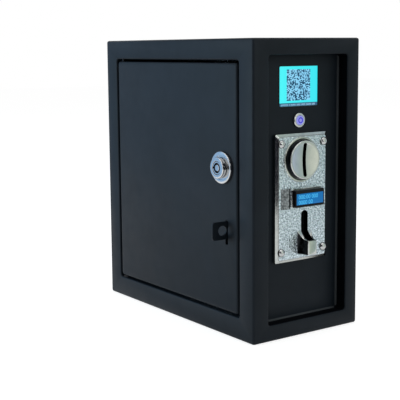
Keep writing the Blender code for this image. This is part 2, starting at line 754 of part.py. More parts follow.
def coin_faceplate():
    foot = plate_outline(PLATE_FLANK)
    plate = solid("coin_faceplate", loft('Y', eased_sections(plate_outline, PLATE_FRONT, 1, PLATE_EDGE_R)
                                         + [(PLATE_BACK - PLATE_FOOT, foot), (PLATE_BACK, foot)]), CAST_ZINC)
    disc_mid = (DISC_X, DISC_Z)
    over = PLATE_T
    through = (PLATE_FRONT - over, PLATE_BACK + over)
    ring_profile = [(PLATE_FRONT - RING_RISE, RING_R - RING_RISE), (PLATE_FRONT, RING_R),
                    (PLATE_FRONT + RING_RISE, RING_R)]
    join(plate, turned('Y', disc_mid, ring_profile), "entry_ring")
    sunk = PLATE_T / 2
    join(plate, prism('Z', [(WEDGE_LEFT, PLATE_FRONT + sunk), (WEDGE_RIGHT, PLATE_FRONT + sunk),
                            (WEDGE_RIGHT, PLATE_FRONT - WEDGE_RISE), (WEDGE_LEFT, PLATE_FRONT)],
                      PLATE_Z - WEDGE_DOWN, PLATE_Z + WEDGE_UP), "wedge")
    join(plate, loft('Y', spout_sections()), "spout")
    cut(plate, prism('Y', circle(disc_mid, DISC_R + RUN_CLEAR), *through), "disc_hole")
    cut(plate, prism('Y', lcd_outline(SEAT), *through), "lcd_hole")
    cut(plate, prism('Y', return_outline(), PLATE_FRONT - SPOUT_REACH + SPOUT_FRONT_WALL, PLATE_BACK + over),
        "return_slot")
    for label, x, z in plate_screw_places():
        cut(plate, prism('Y', circle((x, z), SCREW_R + RUN_CLEAR, SMALL_SIDES), *through), "hole_" + label)
        solid("faceplate_screw_" + label,
              dome_head('Y', (x, z), PLATE_FRONT - SEAT, -1, SCREW_HEAD_R, SCREW_HEAD_T, SCREW_R,
                        PANEL_BACK + SCREW_PAST), POLISHED)


def coin_entry_disc():
    mid = (DISC_X, DISC_Z)
    face = PLATE_FRONT - DISC_RISE
    joint = joint_empty("coin_disc_axis", (DISC_X, face, DISC_Z))
    ease = PLATE_EDGE_R
    profile = [(face + DISC_T, DISC_R), (PLATE_FRONT - RING_RISE, DISC_R), (face + ease, DISC_FACE_R),
               (face, DISC_FACE_R - ease)]
    rim = DISC_FACE_R - 2 * ease
    rings = 5
    for step in range(rings):
        radius = rim * (1 - step / rings)
        profile.append((face + DISC_DISH * (1 - (radius / rim) ** 2), radius))
    disc = solid("coin_entry_disc", turned('Y', mid, profile), POLISHED, joint)
    cut(disc, block((DISC_X - COIN_SLOT_W / 2, face - DISC_T, DISC_Z - COIN_SLOT_H / 2),
                    (DISC_X + COIN_SLOT_W / 2, face + 2 * DISC_T, DISC_Z + COIN_SLOT_H / 2)), "coin_slot")


def coin_lcd():
    face = PLATE_FRONT - LCD_RISE
    lcd = solid("coin_lcd_block", loft('Y', eased_sections(lcd_outline, face, 1, PLATE_EDGE_R)
                                       + [(PLATE_BACK, lcd_outline(0.0))]), BLACK_PLASTIC)
    low = (LCD_LEFT + SCREEN_BORDER_X, LCD_LOW + SCREEN_BORDER_LOW)
    high = (LCD_RIGHT - SCREEN_BORDER_X, LCD_HIGH - SCREEN_BORDER_HIGH)
    cut(lcd, prism('Y', rectangle(*low, *high), face - SCREEN_T, face + SCREEN_T + SEAT), "screen_seat")
    screen_edge = rectangle(low[0] + SEAT, low[1] + SEAT, high[0] - SEAT, high[1] - SEAT)
    solid("coin_lcd_screen", prism('Y', screen_edge, face, face + SCREEN_T), BLUE_GLASS)


# Coin mechanism

def coin_path():
    """Side view of the coin channel: in at the slot, down to the box or forward to the return."""
    front = MECH_FRONT - PANEL_T
    low = MECH_LOW - PANEL_T
    sill = MECH_LOW + RETURN_SILL
    entry_high = DISC_Z + COIN_SLOT_H / 2
    entry_low = DISC_Z - COIN_SLOT_H / 2
    return [(front, entry_high), (MECH_FRONT + ENTRY_RUN, entry_high - ENTRY_FALL),
            (EXIT_BACK, entry_low - EXIT_FALL), (EXIT_BACK, low), (EXIT_FRONT, low),
            (EXIT_FRONT, MECH_LOW + DIVIDER_H), (EXIT_FRONT - DIVIDER_W, sill), (front, sill),
            (front, RETURN_TOP), (EXIT_FRONT - DIVIDER_W, RETURN_TOP + RETURN_ROOF),
            (EXIT_FRONT - RETURN_ROOF, entry_low - DIVIDER_W), (front, entry_low)]


def coin_mechanism():
    left = PLATE_X - MECH_W / 2
    right = PLATE_X + MECH_W / 2
    split = DISC_X - CHANNEL_W / 2
    high = MECH_LOW + MECH_H
    body = solid("acceptor_body", block((split, MECH_FRONT, MECH_LOW), (right, MECH_BACK, high)),
                 BLACK_PLASTIC)
    cover = solid("acceptor_cover", block((left, MECH_FRONT, MECH_LOW), (split - SEAT, MECH_BACK, high)),
                  BLACK_PLASTIC)
    cut(body, prism('X', coin_path(), split - SEAT, split + CHANNEL_W), "coin_path")
    cut(body, block((split - SEAT, MECH_FRONT - PANEL_T, RETURN_FLOOR),
                    (RETURN_X + RETURN_W / 2, MECH_FRONT + RETURN_RUN, RETURN_TOP - SEAT)), "return_path")
    pocket_floor = PLATE_FRONT - DISC_RISE + DISC_T + DISC_TRAVEL + DISC_POCKET_CLEAR
    for half in (body, cover):
        cut(half, prism('Y', disc_pocket_outline(), MECH_FRONT - PANEL_T, pocket_floor), "disc_pocket")
    exit_mid = (DISC_X, (EXIT_FRONT + EXIT_BACK) / 2)
    inner_y = EXIT_Y + 2 * CHUTE_CLEAR
    outer = rounded(exit_mid, CHUTE_INNER_X + 2 * CHUTE_WALL, inner_y + 2 * CHUTE_WALL, 2 * CHUTE_WALL)
    inner = rounded(exit_mid, CHUTE_INNER_X, inner_y, CHUTE_WALL)
    top = MECH_LOW - SEAT
    end = top - CHUTE_L
    solid("coin_chute", loft('Z', [(end, outer), (top, outer), (top, inner), (end, inner)], ring=True),
          STEEL)


def cash_box():
    front = FRONT + CASH_FRONT_GAP
    low = (-CASH_X / 2, front, SHEET + SEAT)
    high = (CASH_X / 2, front + CASH_Y, MECH_LOW - SEAT - CHUTE_L - CASH_UNDER_CHUTE)
    box = solid("cash_box", block(low, high), STEEL)
    cut(box, block([value + CASH_WALL for value in low],
                   (high[0] - CASH_WALL, high[1] - CASH_WALL, high[2] + CASH_WALL)), "inside")


# Door, hinge, lock and staple

def door(joint):
    inner_end = DOOR_SIDE + DOOR_FLANGE
    panel = solid("door_panel", loft('X', eased_sections(door_outline, DOOR_SIDE, 1, DOOR_EDGE_R)
                                     + [(inner_end, door_outline(0.0))]), BLACK_PAINT, joint)
    cut(panel, prism('X', door_outline(-SHEET), DOOR_INNER, inner_end + SHEET), "pan")
    cut(panel, prism('X', circle(LOCK_AT, LOCK_THREAD_R + SEAT), DOOR_SIDE - SHEET, DOOR_INNER + SHEET),
        "lock_hole")
    low_y = STAPLE_Y - STAPLE_T / 2 - SLOT_SWING
    high_y = STAPLE_Y + STAPLE_T / 2 + SLOT_SIDE
    low_z = STAPLE_LOW - SLOT_BELOW
    high_z = STAPLE_LOW + STAPLE_H + SLOT_ABOVE
    cut(panel, prism('X', rectangle(low_y, low_z, high_y, high_z), DOOR_SIDE - SHEET, DOOR_INNER + SHEET),
        "staple_slot")
    door_low = DOOR_BORDER + DOOR_GAP
    door_high = OPENING_TOP - DOOR_GAP
    for label, low, high in (("pin_bore_top", door_high - 2 * SHEET, door_high + SHEET),
                             ("pin_bore_bottom", door_low - SHEET, door_low + 2 * SHEET)):
        cut(panel, prism('Z', circle((PIVOT_X, PIVOT_Y), PIN_R + RUN_CLEAR, SMALL_SIDES), low, high), label)


def hinge_pins():
    mid = (PIVOT_X, PIVOT_Y)
    low = DOOR_BORDER
    high = OPENING_TOP
    reach = DOOR_GAP + SHEET + PIN_REACH
    for name, seat, out, end in (("hinge_pin_top", high + SHEET + SEAT, 1, high - reach),
                                 ("hinge_pin_bottom", low - SHEET - SEAT, -1, low + reach)):
        solid(name, turned('Z', mid, [(end, PIN_R), (seat, PIN_R), (seat, PIN_HEAD_R),
                                      (seat + out * PIN_HEAD_T, PIN_HEAD_R)], SMALL_SIDES), STEEL)
    solid("hinge_washer", turned_ring('Z', mid, [
        (low + SEAT, PIN_R + RUN_CLEAR), (low + SEAT, WASHER_R), (low + DOOR_GAP - SEAT, WASHER_R),
        (low + DOOR_GAP - SEAT, PIN_R + RUN_CLEAR)], SMALL_SIDES), BRASS)


def door_lock(door_joint):
    mid = LOCK_AT
    bore = PLUG_R + RUN_CLEAR
    seat = DOOR_SIDE - SEAT
    nose = seat - LOCK_NOSE_RISE
    ease = LOCK_FLANGE_T / 3
    thread_end = STOP_PLANE + SHEET
    solid("lock_housing", turned_ring('X', mid, [
        (nose, bore), (nose, LOCK_NOSE_R - ease), (nose + ease, LOCK_NOSE_R),
        (seat - LOCK_FLANGE_T, LOCK_NOSE_R), (seat - LOCK_FLANGE_T, LOCK_FLANGE_R - 2 * ease),
        (seat - ease, LOCK_FLANGE_R), (seat, LOCK_FLANGE_R), (seat, LOCK_THREAD_R),
        (thread_end, LOCK_THREAD_R), (thread_end, bore)]), POLISHED, door_joint)
    nut_at = DOOR_INNER + SEAT
    edge = hexagon(mid, LOCK_NUT_AF)
    hole = circle(mid, LOCK_THREAD_R + SEAT)
    solid("lock_nut", loft('X', [(nut_at, edge), (nut_at + LOCK_NUT_T, edge), (nut_at + LOCK_NUT_T, hole),
                                 (nut_at, hole)], ring=True), STEEL, door_joint)
    joint = joint_empty("lock_axis", (CAM_X, LOCK_Y, LOCK_Z), door_joint)
    face = nose + PLUG_RECESS
    plug_end = CAM_X - SEAT
    plug = solid("lock_plug", turned('X', mid, [(face, PLUG_R), (plug_end, PLUG_R)]), POLISHED, joint)
    cut(plug, turned_ring('X', mid, [(face - KEYWAY_DEPTH, KEYPOST_R), (face - KEYWAY_DEPTH, KEYWAY_R),
                                     (face + KEYWAY_DEPTH, KEYWAY_R), (face + KEYWAY_DEPTH, KEYPOST_R)],
                          SMALL_SIDES), "keyway")
    cut(plug, block((face - KEYWAY_DEPTH, LOCK_Y + KEYPOST_R, LOCK_Z - KEY_NOTCH / 2),
                    (face + KEYWAY_DEPTH / 2, LOCK_Y + PLUG_R - SEAT, LOCK_Z + KEY_NOTCH / 2)), "key_notch")
    cut(plug, prism('X', circle(mid, CAM_SCREW_R + RUN_CLEAR, SMALL_SIDES), plug_end - CAM_SCREW_GRIP,
                    plug_end + CAM_T), "screw_bore")
    cam_mid = (LOCK_Y, LOCK_Z - (CAM_REACH - CAM_HALF) / 2)
    cam = solid("lock_cam", prism('X', rounded(cam_mid, 2 * CAM_HALF, CAM_REACH + CAM_HALF, CAM_HALF / 2),
                                  CAM_X, CAM_X + CAM_T), STEEL, joint)
    cut(cam, prism('X', circle(mid, CAM_SCREW_R + RUN_CLEAR, SMALL_SIDES), CAM_X - CAM_T, CAM_X + 2 * CAM_T),
        "screw_hole")
    solid("cam_screw", dome_head('X', mid, CAM_X + CAM_T + SEAT, 1, CAM_SCREW_HEAD_R, CAM_SCREW_HEAD_T,
                                 CAM_SCREW_R, plug_end - CAM_SCREW_GRIP + SEAT), STEEL, joint)


def padlock_staple():
    base_front = STOP_PLANE + SHEET + SEAT
    base_back = base_front + STAPLE_BASE_T
    tip = DOOR_SIDE - STAPLE_REACH
    mid = ((tip + base_back) / 2, STAPLE_LOW + STAPLE_H / 2)
    staple = solid("padlock_staple", prism('Y', rounded(mid, base_back - tip, STAPLE_H, STAPLE_CORNER_R),
                                           STAPLE_Y - STAPLE_T / 2, STAPLE_Y + STAPLE_T / 2), BLACK_PAINT)
    join(staple, block((base_front, -DOOR_Y / 2 + SHEET, STAPLE_LOW + SEAT),
                       (base_back - SEAT, STAPLE_Y, STAPLE_LOW + STAPLE_H - SEAT)), "base")
    cut(staple, prism('Y', circle((DOOR_SIDE - STAPLE_HOLE_OUT, mid[1]), STAPLE_HOLE_R),
                      STAPLE_Y - STAPLE_T, STAPLE_Y + STAPLE_T), "padlock_hole")


# Sockets on the rear

def slot_places():
    """Outline of each blade slot, shrunk by an amount, on the socket's face."""
    def hot(side):
        mid = (SOCKET_X + side * HOT_OUT, SOCKET_Z)
        return lambda shrink: rectangle(mid[0] - HOT_W / 2 + shrink, mid[1] - HOT_H / 2 + shrink,
                                        mid[0] + HOT_W / 2 - shrink, mid[1] + HOT_H / 2 - shrink)

    def ground(shrink):
        half = GROUND_W / 2 - shrink
        top = SOCKET_Z + GROUND_UP + GROUND_H / 2 - shrink
        bend = SOCKET_Z + GROUND_UP - GROUND_H / 2 + GROUND_W / 2
        steps = 2 * CORNER_STEPS
        arc = [math.pi * (1 + step / steps) for step in range(steps + 1)]
        return ([(SOCKET_X + half * math.cos(a), bend + half * math.sin(a)) for a in arc]
                + [(SOCKET_X + half, top), (SOCKET_X - half, top)])

    def neutral(shrink):
        top = SOCKET_Z - NEUTRAL_DOWN + NEUTRAL_BAR / 2 - shrink
        right = SOCKET_X + NEUTRAL_W / 2 - shrink
        left = SOCKET_X - NEUTRAL_W / 2 + shrink
        inner = left + NEUTRAL_BAR - 2 * shrink
        step = top - NEUTRAL_BAR + 2 * shrink
        low = SOCKET_Z - NEUTRAL_DOWN - NEUTRAL_BAR / 2 - NEUTRAL_LEG_H + shrink
        return [(left, low), (inner, low), (inner, step), (right, step), (right, top), (left, top)]

    return [("hot_contact_left", hot(-1)), ("hot_contact_right", hot(1)),
            ("ground_contact", ground), ("neutral_contact", neutral)]


def power_socket():
    mid = (SOCKET_X, SOCKET_Z)
    face = REAR - SEAT
    flange_face = REAR_INNER - SEAT
    flange_back = flange_face - SOCKET_FLANGE_T
    end = face - SOCKET_DEPTH
    ease = SEAT * 2
    body = solid("socket_body", turned('Y', mid, [
        (face, SOCKET_R - ease), (face - ease, SOCKET_R), (flange_face, SOCKET_R),
        (flange_face, SOCKET_FLANGE_R), (flange_back, SOCKET_FLANGE_R), (flange_back, SOCKET_R),
        (end, SOCKET_R)]), GREY_PLASTIC)
    floor = face - SLOT_DEPTH
    for name, outline in slot_places():
        cut(body, prism('Y', outline(0.0), floor, REAR + SHEET), name + "_slot")
        solid(name, prism('Y', outline(CONTACT_CLEAR), floor + SEAT, floor + SEAT + CONTACT_L), BRASS)
    cut(body, prism('Y', circle(mid, CENTRE_HOLE_R, SMALL_SIDES), face - SLOT_DEPTH / 2, REAR + SHEET),
        "centre_hole")
    screw_seat = face - SLOT_DEPTH / 2 + SEAT
    solid("socket_screw", turned('Y', mid, [(screw_seat, CENTRE_HOLE_R - CONTACT_CLEAR),
                                            (screw_seat + CONTACT_L / 2, CENTRE_HOLE_R - CONTACT_CLEAR)],
                                 SMALL_SIDES), STEEL)
    ring_face = flange_back - SEAT
    inner = SOCKET_R + SOCKET_CLEAR
    outer = SOCKET_FLANGE_R + CLAMP_WIDE
    ring_back = ring_face - CLAMP_T
    solid("socket_clamp", turned_ring('Y', mid, [(ring_face, inner), (ring_face, outer),
                                                 (ring_back, outer), (ring_back, inner)]), STEEL)


def network_jack():
    mid = (JACK_X, JACK_Z)
    flange_at = REAR + SEAT
    face = flange_at + JACK_FLANGE_T
    end = face - JACK_DEPTH
    inner_w = JACK_W - 2 * JACK_WALL
    inner_h = JACK_H - 2 * JACK_WALL
    shell = solid("jack_shell", prism('Y', rounded(mid, JACK_W + 2 * JACK_FLANGE, JACK_H + 2 * JACK_FLANGE,
                                                   BEND_R / 2), flange_at, face), STEEL)
    join(shell, prism('Y', rounded(mid, JACK_W, JACK_H, BEND_R / 2), end, flange_at + JACK_FLANGE_T / 2),
         "body")
    cut(shell, prism('Y', rounded(mid, inner_w, inner_h, SEAT), end + JACK_WALL, face + JACK_WALL), "inside")
    insert_face = face - JACK_RECESS
    insert = solid("jack_insert", prism('Y', rounded(mid, inner_w - 2 * SEAT, inner_h - 2 * SEAT, SEAT),
                                        end + JACK_WALL + SEAT, insert_face), BLACK_PLASTIC)
    low = JACK_Z - inner_h / 2 + SEAT + JACK_WALL
    top = low + JACK_SOCKET_H
    wide = JACK_SOCKET_W / 2
    narrow = JACK_LATCH_W / 2
    latch = top + JACK_LATCH_H
    right = [(wide, low), (wide, top), (narrow, top), (narrow, latch)]
    left = [(-out, z) for out, z in reversed(right)]
    outline = [(JACK_X + out, z) for out, z in right + left]
    cut(insert, prism('Y', outline, face - JACK_SOCKET_DEPTH, face + JACK_WALL), "plug_socket")


def cable_gland():
    mid = (GLAND_X, GLAND_Z)
    bore = circle(mid, GLAND_BORE_R)
    hexed = hexagon(mid, GLAND_HEX_AF)
    thread = circle(mid, GLAND_THREAD_R)
    seat = REAR + SEAT
    out = seat + GLAND_HEX_T
    inner = REAR - GLAND_THREAD_L
    solid("gland_body", loft('Y', [(out, bore), (out, hexed), (seat, hexed), (seat, thread), (inner, thread),
                                   (inner, bore)], ring=True), BLACK_PLASTIC)
    cap = out + SEAT
    ease = GLAND_CAP_L / 3
    solid("gland_cap", turned_ring('Y', mid, [
        (cap, GLAND_BORE_R), (cap, GLAND_CAP_R), (cap + ease, GLAND_CAP_R),
        (cap + 2 * ease, (2 * GLAND_CAP_R + GLAND_CAP_TIP_R) / 3), (cap + GLAND_CAP_L, GLAND_CAP_TIP_R),
        (cap + GLAND_CAP_L, GLAND_BORE_R)]), BLACK_PLASTIC)
    nut = REAR_INNER - SEAT
    hole = circle(mid, GLAND_THREAD_R + SEAT)
    solid("gland_locknut", loft('Y', [(nut, hexed), (nut - GLAND_NUT_T, hexed), (nut - GLAND_NUT_T, hole),
                                      (nut, hole)], ring=True), BLACK_PLASTIC)


# Electrics

def on_tray(size, at, lift=0.0):
    """Corners of a block that stands on the tray, given its size and its middle (y, z)."""
    base = TRAY_FACE - SEAT - lift
    low = (base - size[0], at[0] - size[1] / 2, at[1] - size[2] / 2)
    high = (base, at[0] + size[1] / 2, at[1] + size[2] / 2)
    return low, high


def mounting_tray():
    mid = (sum(TRAY_Y) / 2, (TRAY_LOW + TRAY_HIGH) / 2)
    width = TRAY_Y[1] - TRAY_Y[0]
    height = TRAY_HIGH - TRAY_LOW
    tray = solid("mounting_tray", prism('X', rounded(mid, width, height, PLATE_CORNER_R), TRAY_FACE,
                                        TRAY_FACE + TRAY_T), STEEL)
    wall = WALL_SIDE - SHEET - SEAT
    for i, (side_y, side_z) in enumerate(((-1, -1), (1, -1), (1, 1), (-1, 1))):
        foot = (mid[0] + side_y * (width / 2 - TRAY_FOOT_INSET),
                mid[1] + side_z * (height / 2 - TRAY_FOOT_INSET))
        join(tray, prism('X', circle(foot, TRAY_FOOT_R, SMALL_SIDES), TRAY_FACE + TRAY_T / 2, wall),
             "foot_%d" % i)


def electrics():
    solid("power_supply", bevelled_block(*on_tray(SUPPLY_SIZE, SUPPLY_AT), PLATE_EDGE_R), STEEL)
    low, high = on_tray(CONTACTOR_SIZE, CONTACTOR_AT)
    contactor = solid("contactor", bevelled_block(low, high, PLATE_EDGE_R), PALE_PLASTIC)
    for label, low_z, high_z in (("top_step", high[2] - CONTACTOR_STEP, high[2] + SHEET),
                                 ("low_step", low[2] - SHEET, low[2] + CONTACTOR_STEP)):
        cut(contactor, block((low[0] - SHEET, low[1] - SHEET, low_z),
                             (low[0] + CONTACTOR_STEP, high[1] + SHEET, high_z)), label)
    low, high = on_tray(CONTROLLER_SIZE, CONTROLLER_AT, CONTROLLER_POST_L)
    board = solid("controller_board", block(low, high), GREEN_BOARD)
    inset = CONTROLLER_POST_INSET
    for i, (y, z) in enumerate(((low[1] + inset, low[2] + inset), (high[1] - inset, low[2] + inset),
                                (high[1] - inset, high[2] - inset), (low[1] + inset, high[2] - inset))):
        join(board, prism('X', circle((y, z), CONTROLLER_POST_R, SMALL_SIDES), high[0] - BOARD_T / 2,
                          TRAY_FACE - SEAT), "post_%d" % i)
    chip_t, chip_w, chip_h = CHIP_SIZE
    mid_y, mid_z = CONTROLLER_AT
    join(board, block((low[0] - chip_t, mid_y - chip_w / 2, mid_z - chip_h / 2),
                      (low[0] + BOARD_T / 2, mid_y + chip_w / 2, mid_z + chip_h / 2)), "chip")
    low, high = on_tray(TERMINAL_SIZE, TERMINAL_AT)
    terminal = solid("terminal_block", block(low, high), PALE_PLASTIC)
    pitch = TERMINAL_SIZE[1] / TERMINAL_WAYS
    for way in range(TERMINAL_WAYS):
        y = low[1] + (way + 0.5) * pitch
        cut(terminal, block((low[0] - SHEET, y - TERMINAL_NOTCH / 2, high[2] - TERMINAL_NOTCH),
                            (low[0] + TERMINAL_NOTCH, y + TERMINAL_NOTCH / 2, high[2] + SHEET)),
            "way_%d" % way)


# Wiring, each lead a smooth tube through points chosen by hand

def lead(name, route, look):
    points = [Vector(point) for point in route]
    padded = [2 * points[0] - points[1]] + points + [2 * points[-1] - points[-2]]
    path = []
    for before, start, end, after in zip(padded, padded[1:], padded[2:], padded[3:]):
        for step in range(LEAD_STEPS):
            t = step / LEAD_STEPS
            path.append(0.5 * (2 * start + (end - before) * t
                               + (2 * before - 5 * start + 4 * end - after) * t ** 2
                               + (3 * start - before - 3 * end + after) * t ** 3))
    path.append(points[-1])
    curve = bpy.data.curves.new(name, 'CURVE')
    curve.dimensions = '3D'
    curve.bevel_depth = LEAD_R
    curve.bevel_resolution = LEAD_SIDES
    curve.use_fill_caps = True
    spline = curve.splines.new('POLY')
    spline.points.add(len(path) - 1)
    for knot, point in zip(spline.points, path):
        knot.co = (*point, 1.0)
    made = bpy.data.objects.new(name, curve)
    curve.materials.append(finish(look))
    bpy.context.collection.objects.link(made)


def wiring():
    step_z = CONTACTOR_AT[1] + CONTACTOR_SIZE[2] / 2 - CONTACTOR_STEP + SEAT
    step_x = TRAY_FACE - SEAT - CONTACTOR_SIZE[0] + CONTACTOR_STEP / 2
    contactor_y = CONTACTOR_AT[0]
    way_z = TERMINAL_AT[1] + TERMINAL_SIZE[2] / 2 - TERMINAL_NOTCH + SEAT
    way_x = TRAY_FACE - SEAT - TERMINAL_SIZE[0] + TERMINAL_NOTCH / 2
    pitch = TERMINAL_SIZE[1] / TERMINAL_WAYS
    last_way_y = TERMINAL_AT[0] + TERMINAL_SIZE[1] / 2 - pitch / 2
    socket_back = REAR - SEAT - SOCKET_DEPTH - SEAT
    board_x = TRAY_FACE - SEAT - CONTROLLER_POST_L - CONTROLLER_SIZE[0] - SEAT
    board_y = CONTROLLER_Y - CONTROLLER_SIZE[1] / 2 + CABLE_FROM_BOARD_EDGE
    display_z = CONTROLLER_AT[1] + DISPLAY_CABLE_UP
    coin_z = CONTROLLER_AT[1] - COIN_CABLE_DOWN
    display_back = board_front() + BOARD_T + SEAT
    mech_back = MECH_BACK + SEAT
    lead("lead_hot_1", [
        (step_x, contactor_y - 0.010, step_z), (step_x, contactor_y - 0.010, step_z + 0.014),
        (0.006, 0.074, 0.188), (-0.006, 0.080, 0.211), (-0.012, socket_back - 0.010, 0.219),
        (-0.012, socket_back, 0.219)], RED_LEAD)
    lead("lead_hot_2", [
        (step_x, contactor_y + 0.008, step_z), (step_x, contactor_y + 0.008, step_z + 0.012),
        (0.005, 0.089, 0.180), (-0.002, 0.086, 0.193), (-0.004, socket_back - 0.010, 0.2005),
        (-0.004, socket_back, 0.2005)], BLACK_LEAD)
    lead("lead_neutral", [
        (way_x, last_way_y, way_z), (way_x, last_way_y, way_z + 0.011), (0.040, 0.056, 0.140),
        (0.030, 0.056, 0.170), (0.018, 0.066, 0.195), (0.010, socket_back - 0.012, 0.205),
        (0.010, socket_back, 0.205)], WHITE_LEAD)
    lead("lead_ground", [
        (way_x, last_way_y - pitch, way_z), (way_x, last_way_y - pitch, way_z + 0.011),
        (0.040, 0.045, 0.145), (0.030, 0.046, 0.185), (0.020, 0.058, 0.216),
        (0.012, socket_back - 0.014, 0.232), (0.010, socket_back, 0.232)], GREEN_LEAD)
    lead("display_cable", [
        (board_x, board_y, display_z), (board_x - 0.007, board_y, display_z),
        (0.041, -0.046, display_z + 0.002), (0.034, -0.070, DISPLAY_Z + 0.007),
        (0.030, display_back + 0.016, DISPLAY_Z + 0.008), (0.030, display_back, DISPLAY_Z + 0.008)],
        BLACK_LEAD)
    lead("coin_cable", [
        (board_x, board_y, coin_z), (board_x - 0.007, board_y, coin_z), (0.034, -0.037, coin_z - 0.005),
        (0.020, mech_back + 0.020, PLATE_Z + 0.029), (0.016, mech_back + 0.010, PLATE_Z + 0.025),
        (0.016, mech_back, PLATE_Z + 0.024)], BLACK_LEAD)


# Whole kiosk

def build():
    clear_scene()
    cabinet_shell()
    rear_panel()
    control_panel()
    display()
    push_button()
    coin_faceplate()
    coin_entry_disc()
    coin_lcd()
    coin_mechanism()
    cash_box()
    door_joint = joint_empty("door_axis", (PIVOT_X, PIVOT_Y, BOX_Z / 2))
    door(door_joint)
    hinge_pins()
    door_lock(door_joint)
    padlock_staple()
    power_socket()
    network_jack()
    cable_gland()
    mounting_tray()
    electrics()
    wiring()


build()
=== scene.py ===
import json
import random
from math import cos, dist, pi, radians, sin

import bmesh
import bpy
from mathutils import Matrix, Vector


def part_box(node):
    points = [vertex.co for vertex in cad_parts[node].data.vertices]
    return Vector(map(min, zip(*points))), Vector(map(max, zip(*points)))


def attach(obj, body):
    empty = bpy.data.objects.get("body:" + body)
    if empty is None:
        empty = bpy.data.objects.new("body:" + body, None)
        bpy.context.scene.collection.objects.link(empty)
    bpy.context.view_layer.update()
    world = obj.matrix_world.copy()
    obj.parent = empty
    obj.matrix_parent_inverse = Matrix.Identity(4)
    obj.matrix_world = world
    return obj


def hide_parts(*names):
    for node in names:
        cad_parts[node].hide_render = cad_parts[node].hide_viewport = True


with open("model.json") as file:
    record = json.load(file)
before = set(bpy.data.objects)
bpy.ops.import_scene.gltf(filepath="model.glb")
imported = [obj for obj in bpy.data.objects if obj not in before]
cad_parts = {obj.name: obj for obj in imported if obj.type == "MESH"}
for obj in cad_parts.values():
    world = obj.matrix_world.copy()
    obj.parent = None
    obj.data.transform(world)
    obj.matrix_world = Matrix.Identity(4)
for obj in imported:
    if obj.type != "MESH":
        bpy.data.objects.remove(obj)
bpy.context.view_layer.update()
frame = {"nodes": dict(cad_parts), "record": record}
nodes = frame["nodes"]

# Camera, matched to the photo's box corners
CAMERA_AT = (-0.6544, -0.8723, 0.2954)
CAMERA_YAW = radians(35.36)
CAMERA_PITCH = radians(-7.76)
CAMERA_ROLL = radians(-0.51)
CAMERA_LENS = 86.99
CAMERA_SHIFT = -0.05
FLOOR_HALF = 6.0
FLOOR_DROP = 0.0002
BLACK = (0.0, 0.0, 0.0, 1.0)
GREY = (0.5, 0.5, 0.5, 1.0)
WHITE = (1.0, 1.0, 1.0, 1.0)

# Facets and shading
ROUND = 96
SMALL_ROUND = 40
HEAD_ROUND = 24
BUTTON_ROUND = 64
CORNER_STEPS = 8
ARC_STEPS = 6
SMOOTH_ANGLE = radians(32)
SKIN = 0.00012
BLOCK_EASE = 0.0003

# Coin plate
PLATE_T = 0.006
PLATE_CORNER_R = 0.0025
PLATE_EDGE_R = 0.0008
PLATE_FLANK = 0.0026
PLATE_FOOT = 0.0036
PLATE_FOOT_R = 0.0018
RUN_CLEAR = 0.0003
RING_R = 0.0235
RING_RISE = 0.0008
WEDGE_LEFT = -0.0284
WEDGE_RIGHT = -0.0195
WEDGE_DOWN = 0.0104
WEDGE_UP = 0.0105
WEDGE_RISE = 0.003
GAP_LEFT = 0.0012
GAP_WIDE = 0.0024
RETURN_X = 0.0034
RETURN_W = 0.0092
RETURN_TOP_DOWN = 0.0137
RETURN_FLOOR_DOWN = 0.0545
SPOUT_WALL = 0.0018
SPOUT_FLARE = 0.0032
SPOUT_LOW_DOWN = 0.0587
SPOUT_LIP_DOWN = 0.0436
SPOUT_ROOT_DOWN = 0.0351
SPOUT_REACH = 0.013
SPOUT_FRONT_WALL = 0.0018
SPOUT_EDGE_R = 0.0018
SPOUT_STEPS = 14
READOUT_CORNER_R = 0.0018
FRAME_WIDE = 0.0010
FRAME_RISE = 0.0005

# Coin entry disc
DISC_FACE_R = 0.0197
DISC_EASE = 0.0008
DISC_DISH = 0.0022
DISH_RINGS = 14
COIN_SLOT_W = 0.0046
COIN_SLOT_H = 0.035

# Round-headed screws
SCREW_SHANK_R = 0.002
SCREW_HEAD_T = 0.003

# Tubular lock
LOCK_FLANGE_T = 0.003
LOCK_GROOVE_R = 0.0124
LOCK_NOSE_R = 0.011
LOCK_THREAD_R = 0.0095
KEYWAY_R = 0.00535
KEYPOST_R = 0.00325
KEYWAY_DEPTH = 0.0024
KEY_NOTCH = 0.0022
DIMPLE_R = 0.0015
DIMPLE_DEPTH = 0.0018

# Push button; its ring mark is in shares of the cap's radius
BUTTON_BARREL_R = 0.006
BUTTON_CROWN = 0.0009
MARK_INNER = 0.42
MARK_OUTER = 0.68

# Recess on the coin face
PANEL_LAP = 0.0077
BEND_R = 0.0016

# Display; its digits are in shares of the strip's height
GASKET_WIDE = 0.0013
CODE_SIDE = 0.0315
CODE_CELLS = 29
CODE_UP = 0.0013
CODE_SEED = 41
CODE_FILL = 0.47
STRIP_H = 0.0034
STRIP_WORDS = "0000000 0 00000 0000 0000 00000 000"
STRIP_DIGIT_UP = 0.4
STRIP_DIGIT_H = 0.6

# Coin display digits
DIGIT_H = 0.0042
DIGIT_LEFT = 0.0022
DIGIT_LINE = 1.4
DIGIT_ROWS = (("000:00 000", 0.0022), ("0000 00", -0.0034))

# Rear sockets
SOCKET_FLANGE = 0.005
LEAF_DOWN = 0.0012
LEAF_T = 0.0016
LEAF_LEG = 0.004
LEAF_BAR = 0.00192
MOUTH_WIDE = 0.001
LED_IN = 0.0032
LED_OUT = 0.0062
LED_H = 0.0026
JACK_LEDS = (("jack_led_yellow", 1, (0.80, 0.62, 0.03)), ("jack_led_green", -1, (0.10, 0.62, 0.12)))
PIN_COUNT = 8
PIN_PITCH = 0.00102
PIN_UP = 0.0022
CLIP_IN = 0.0067

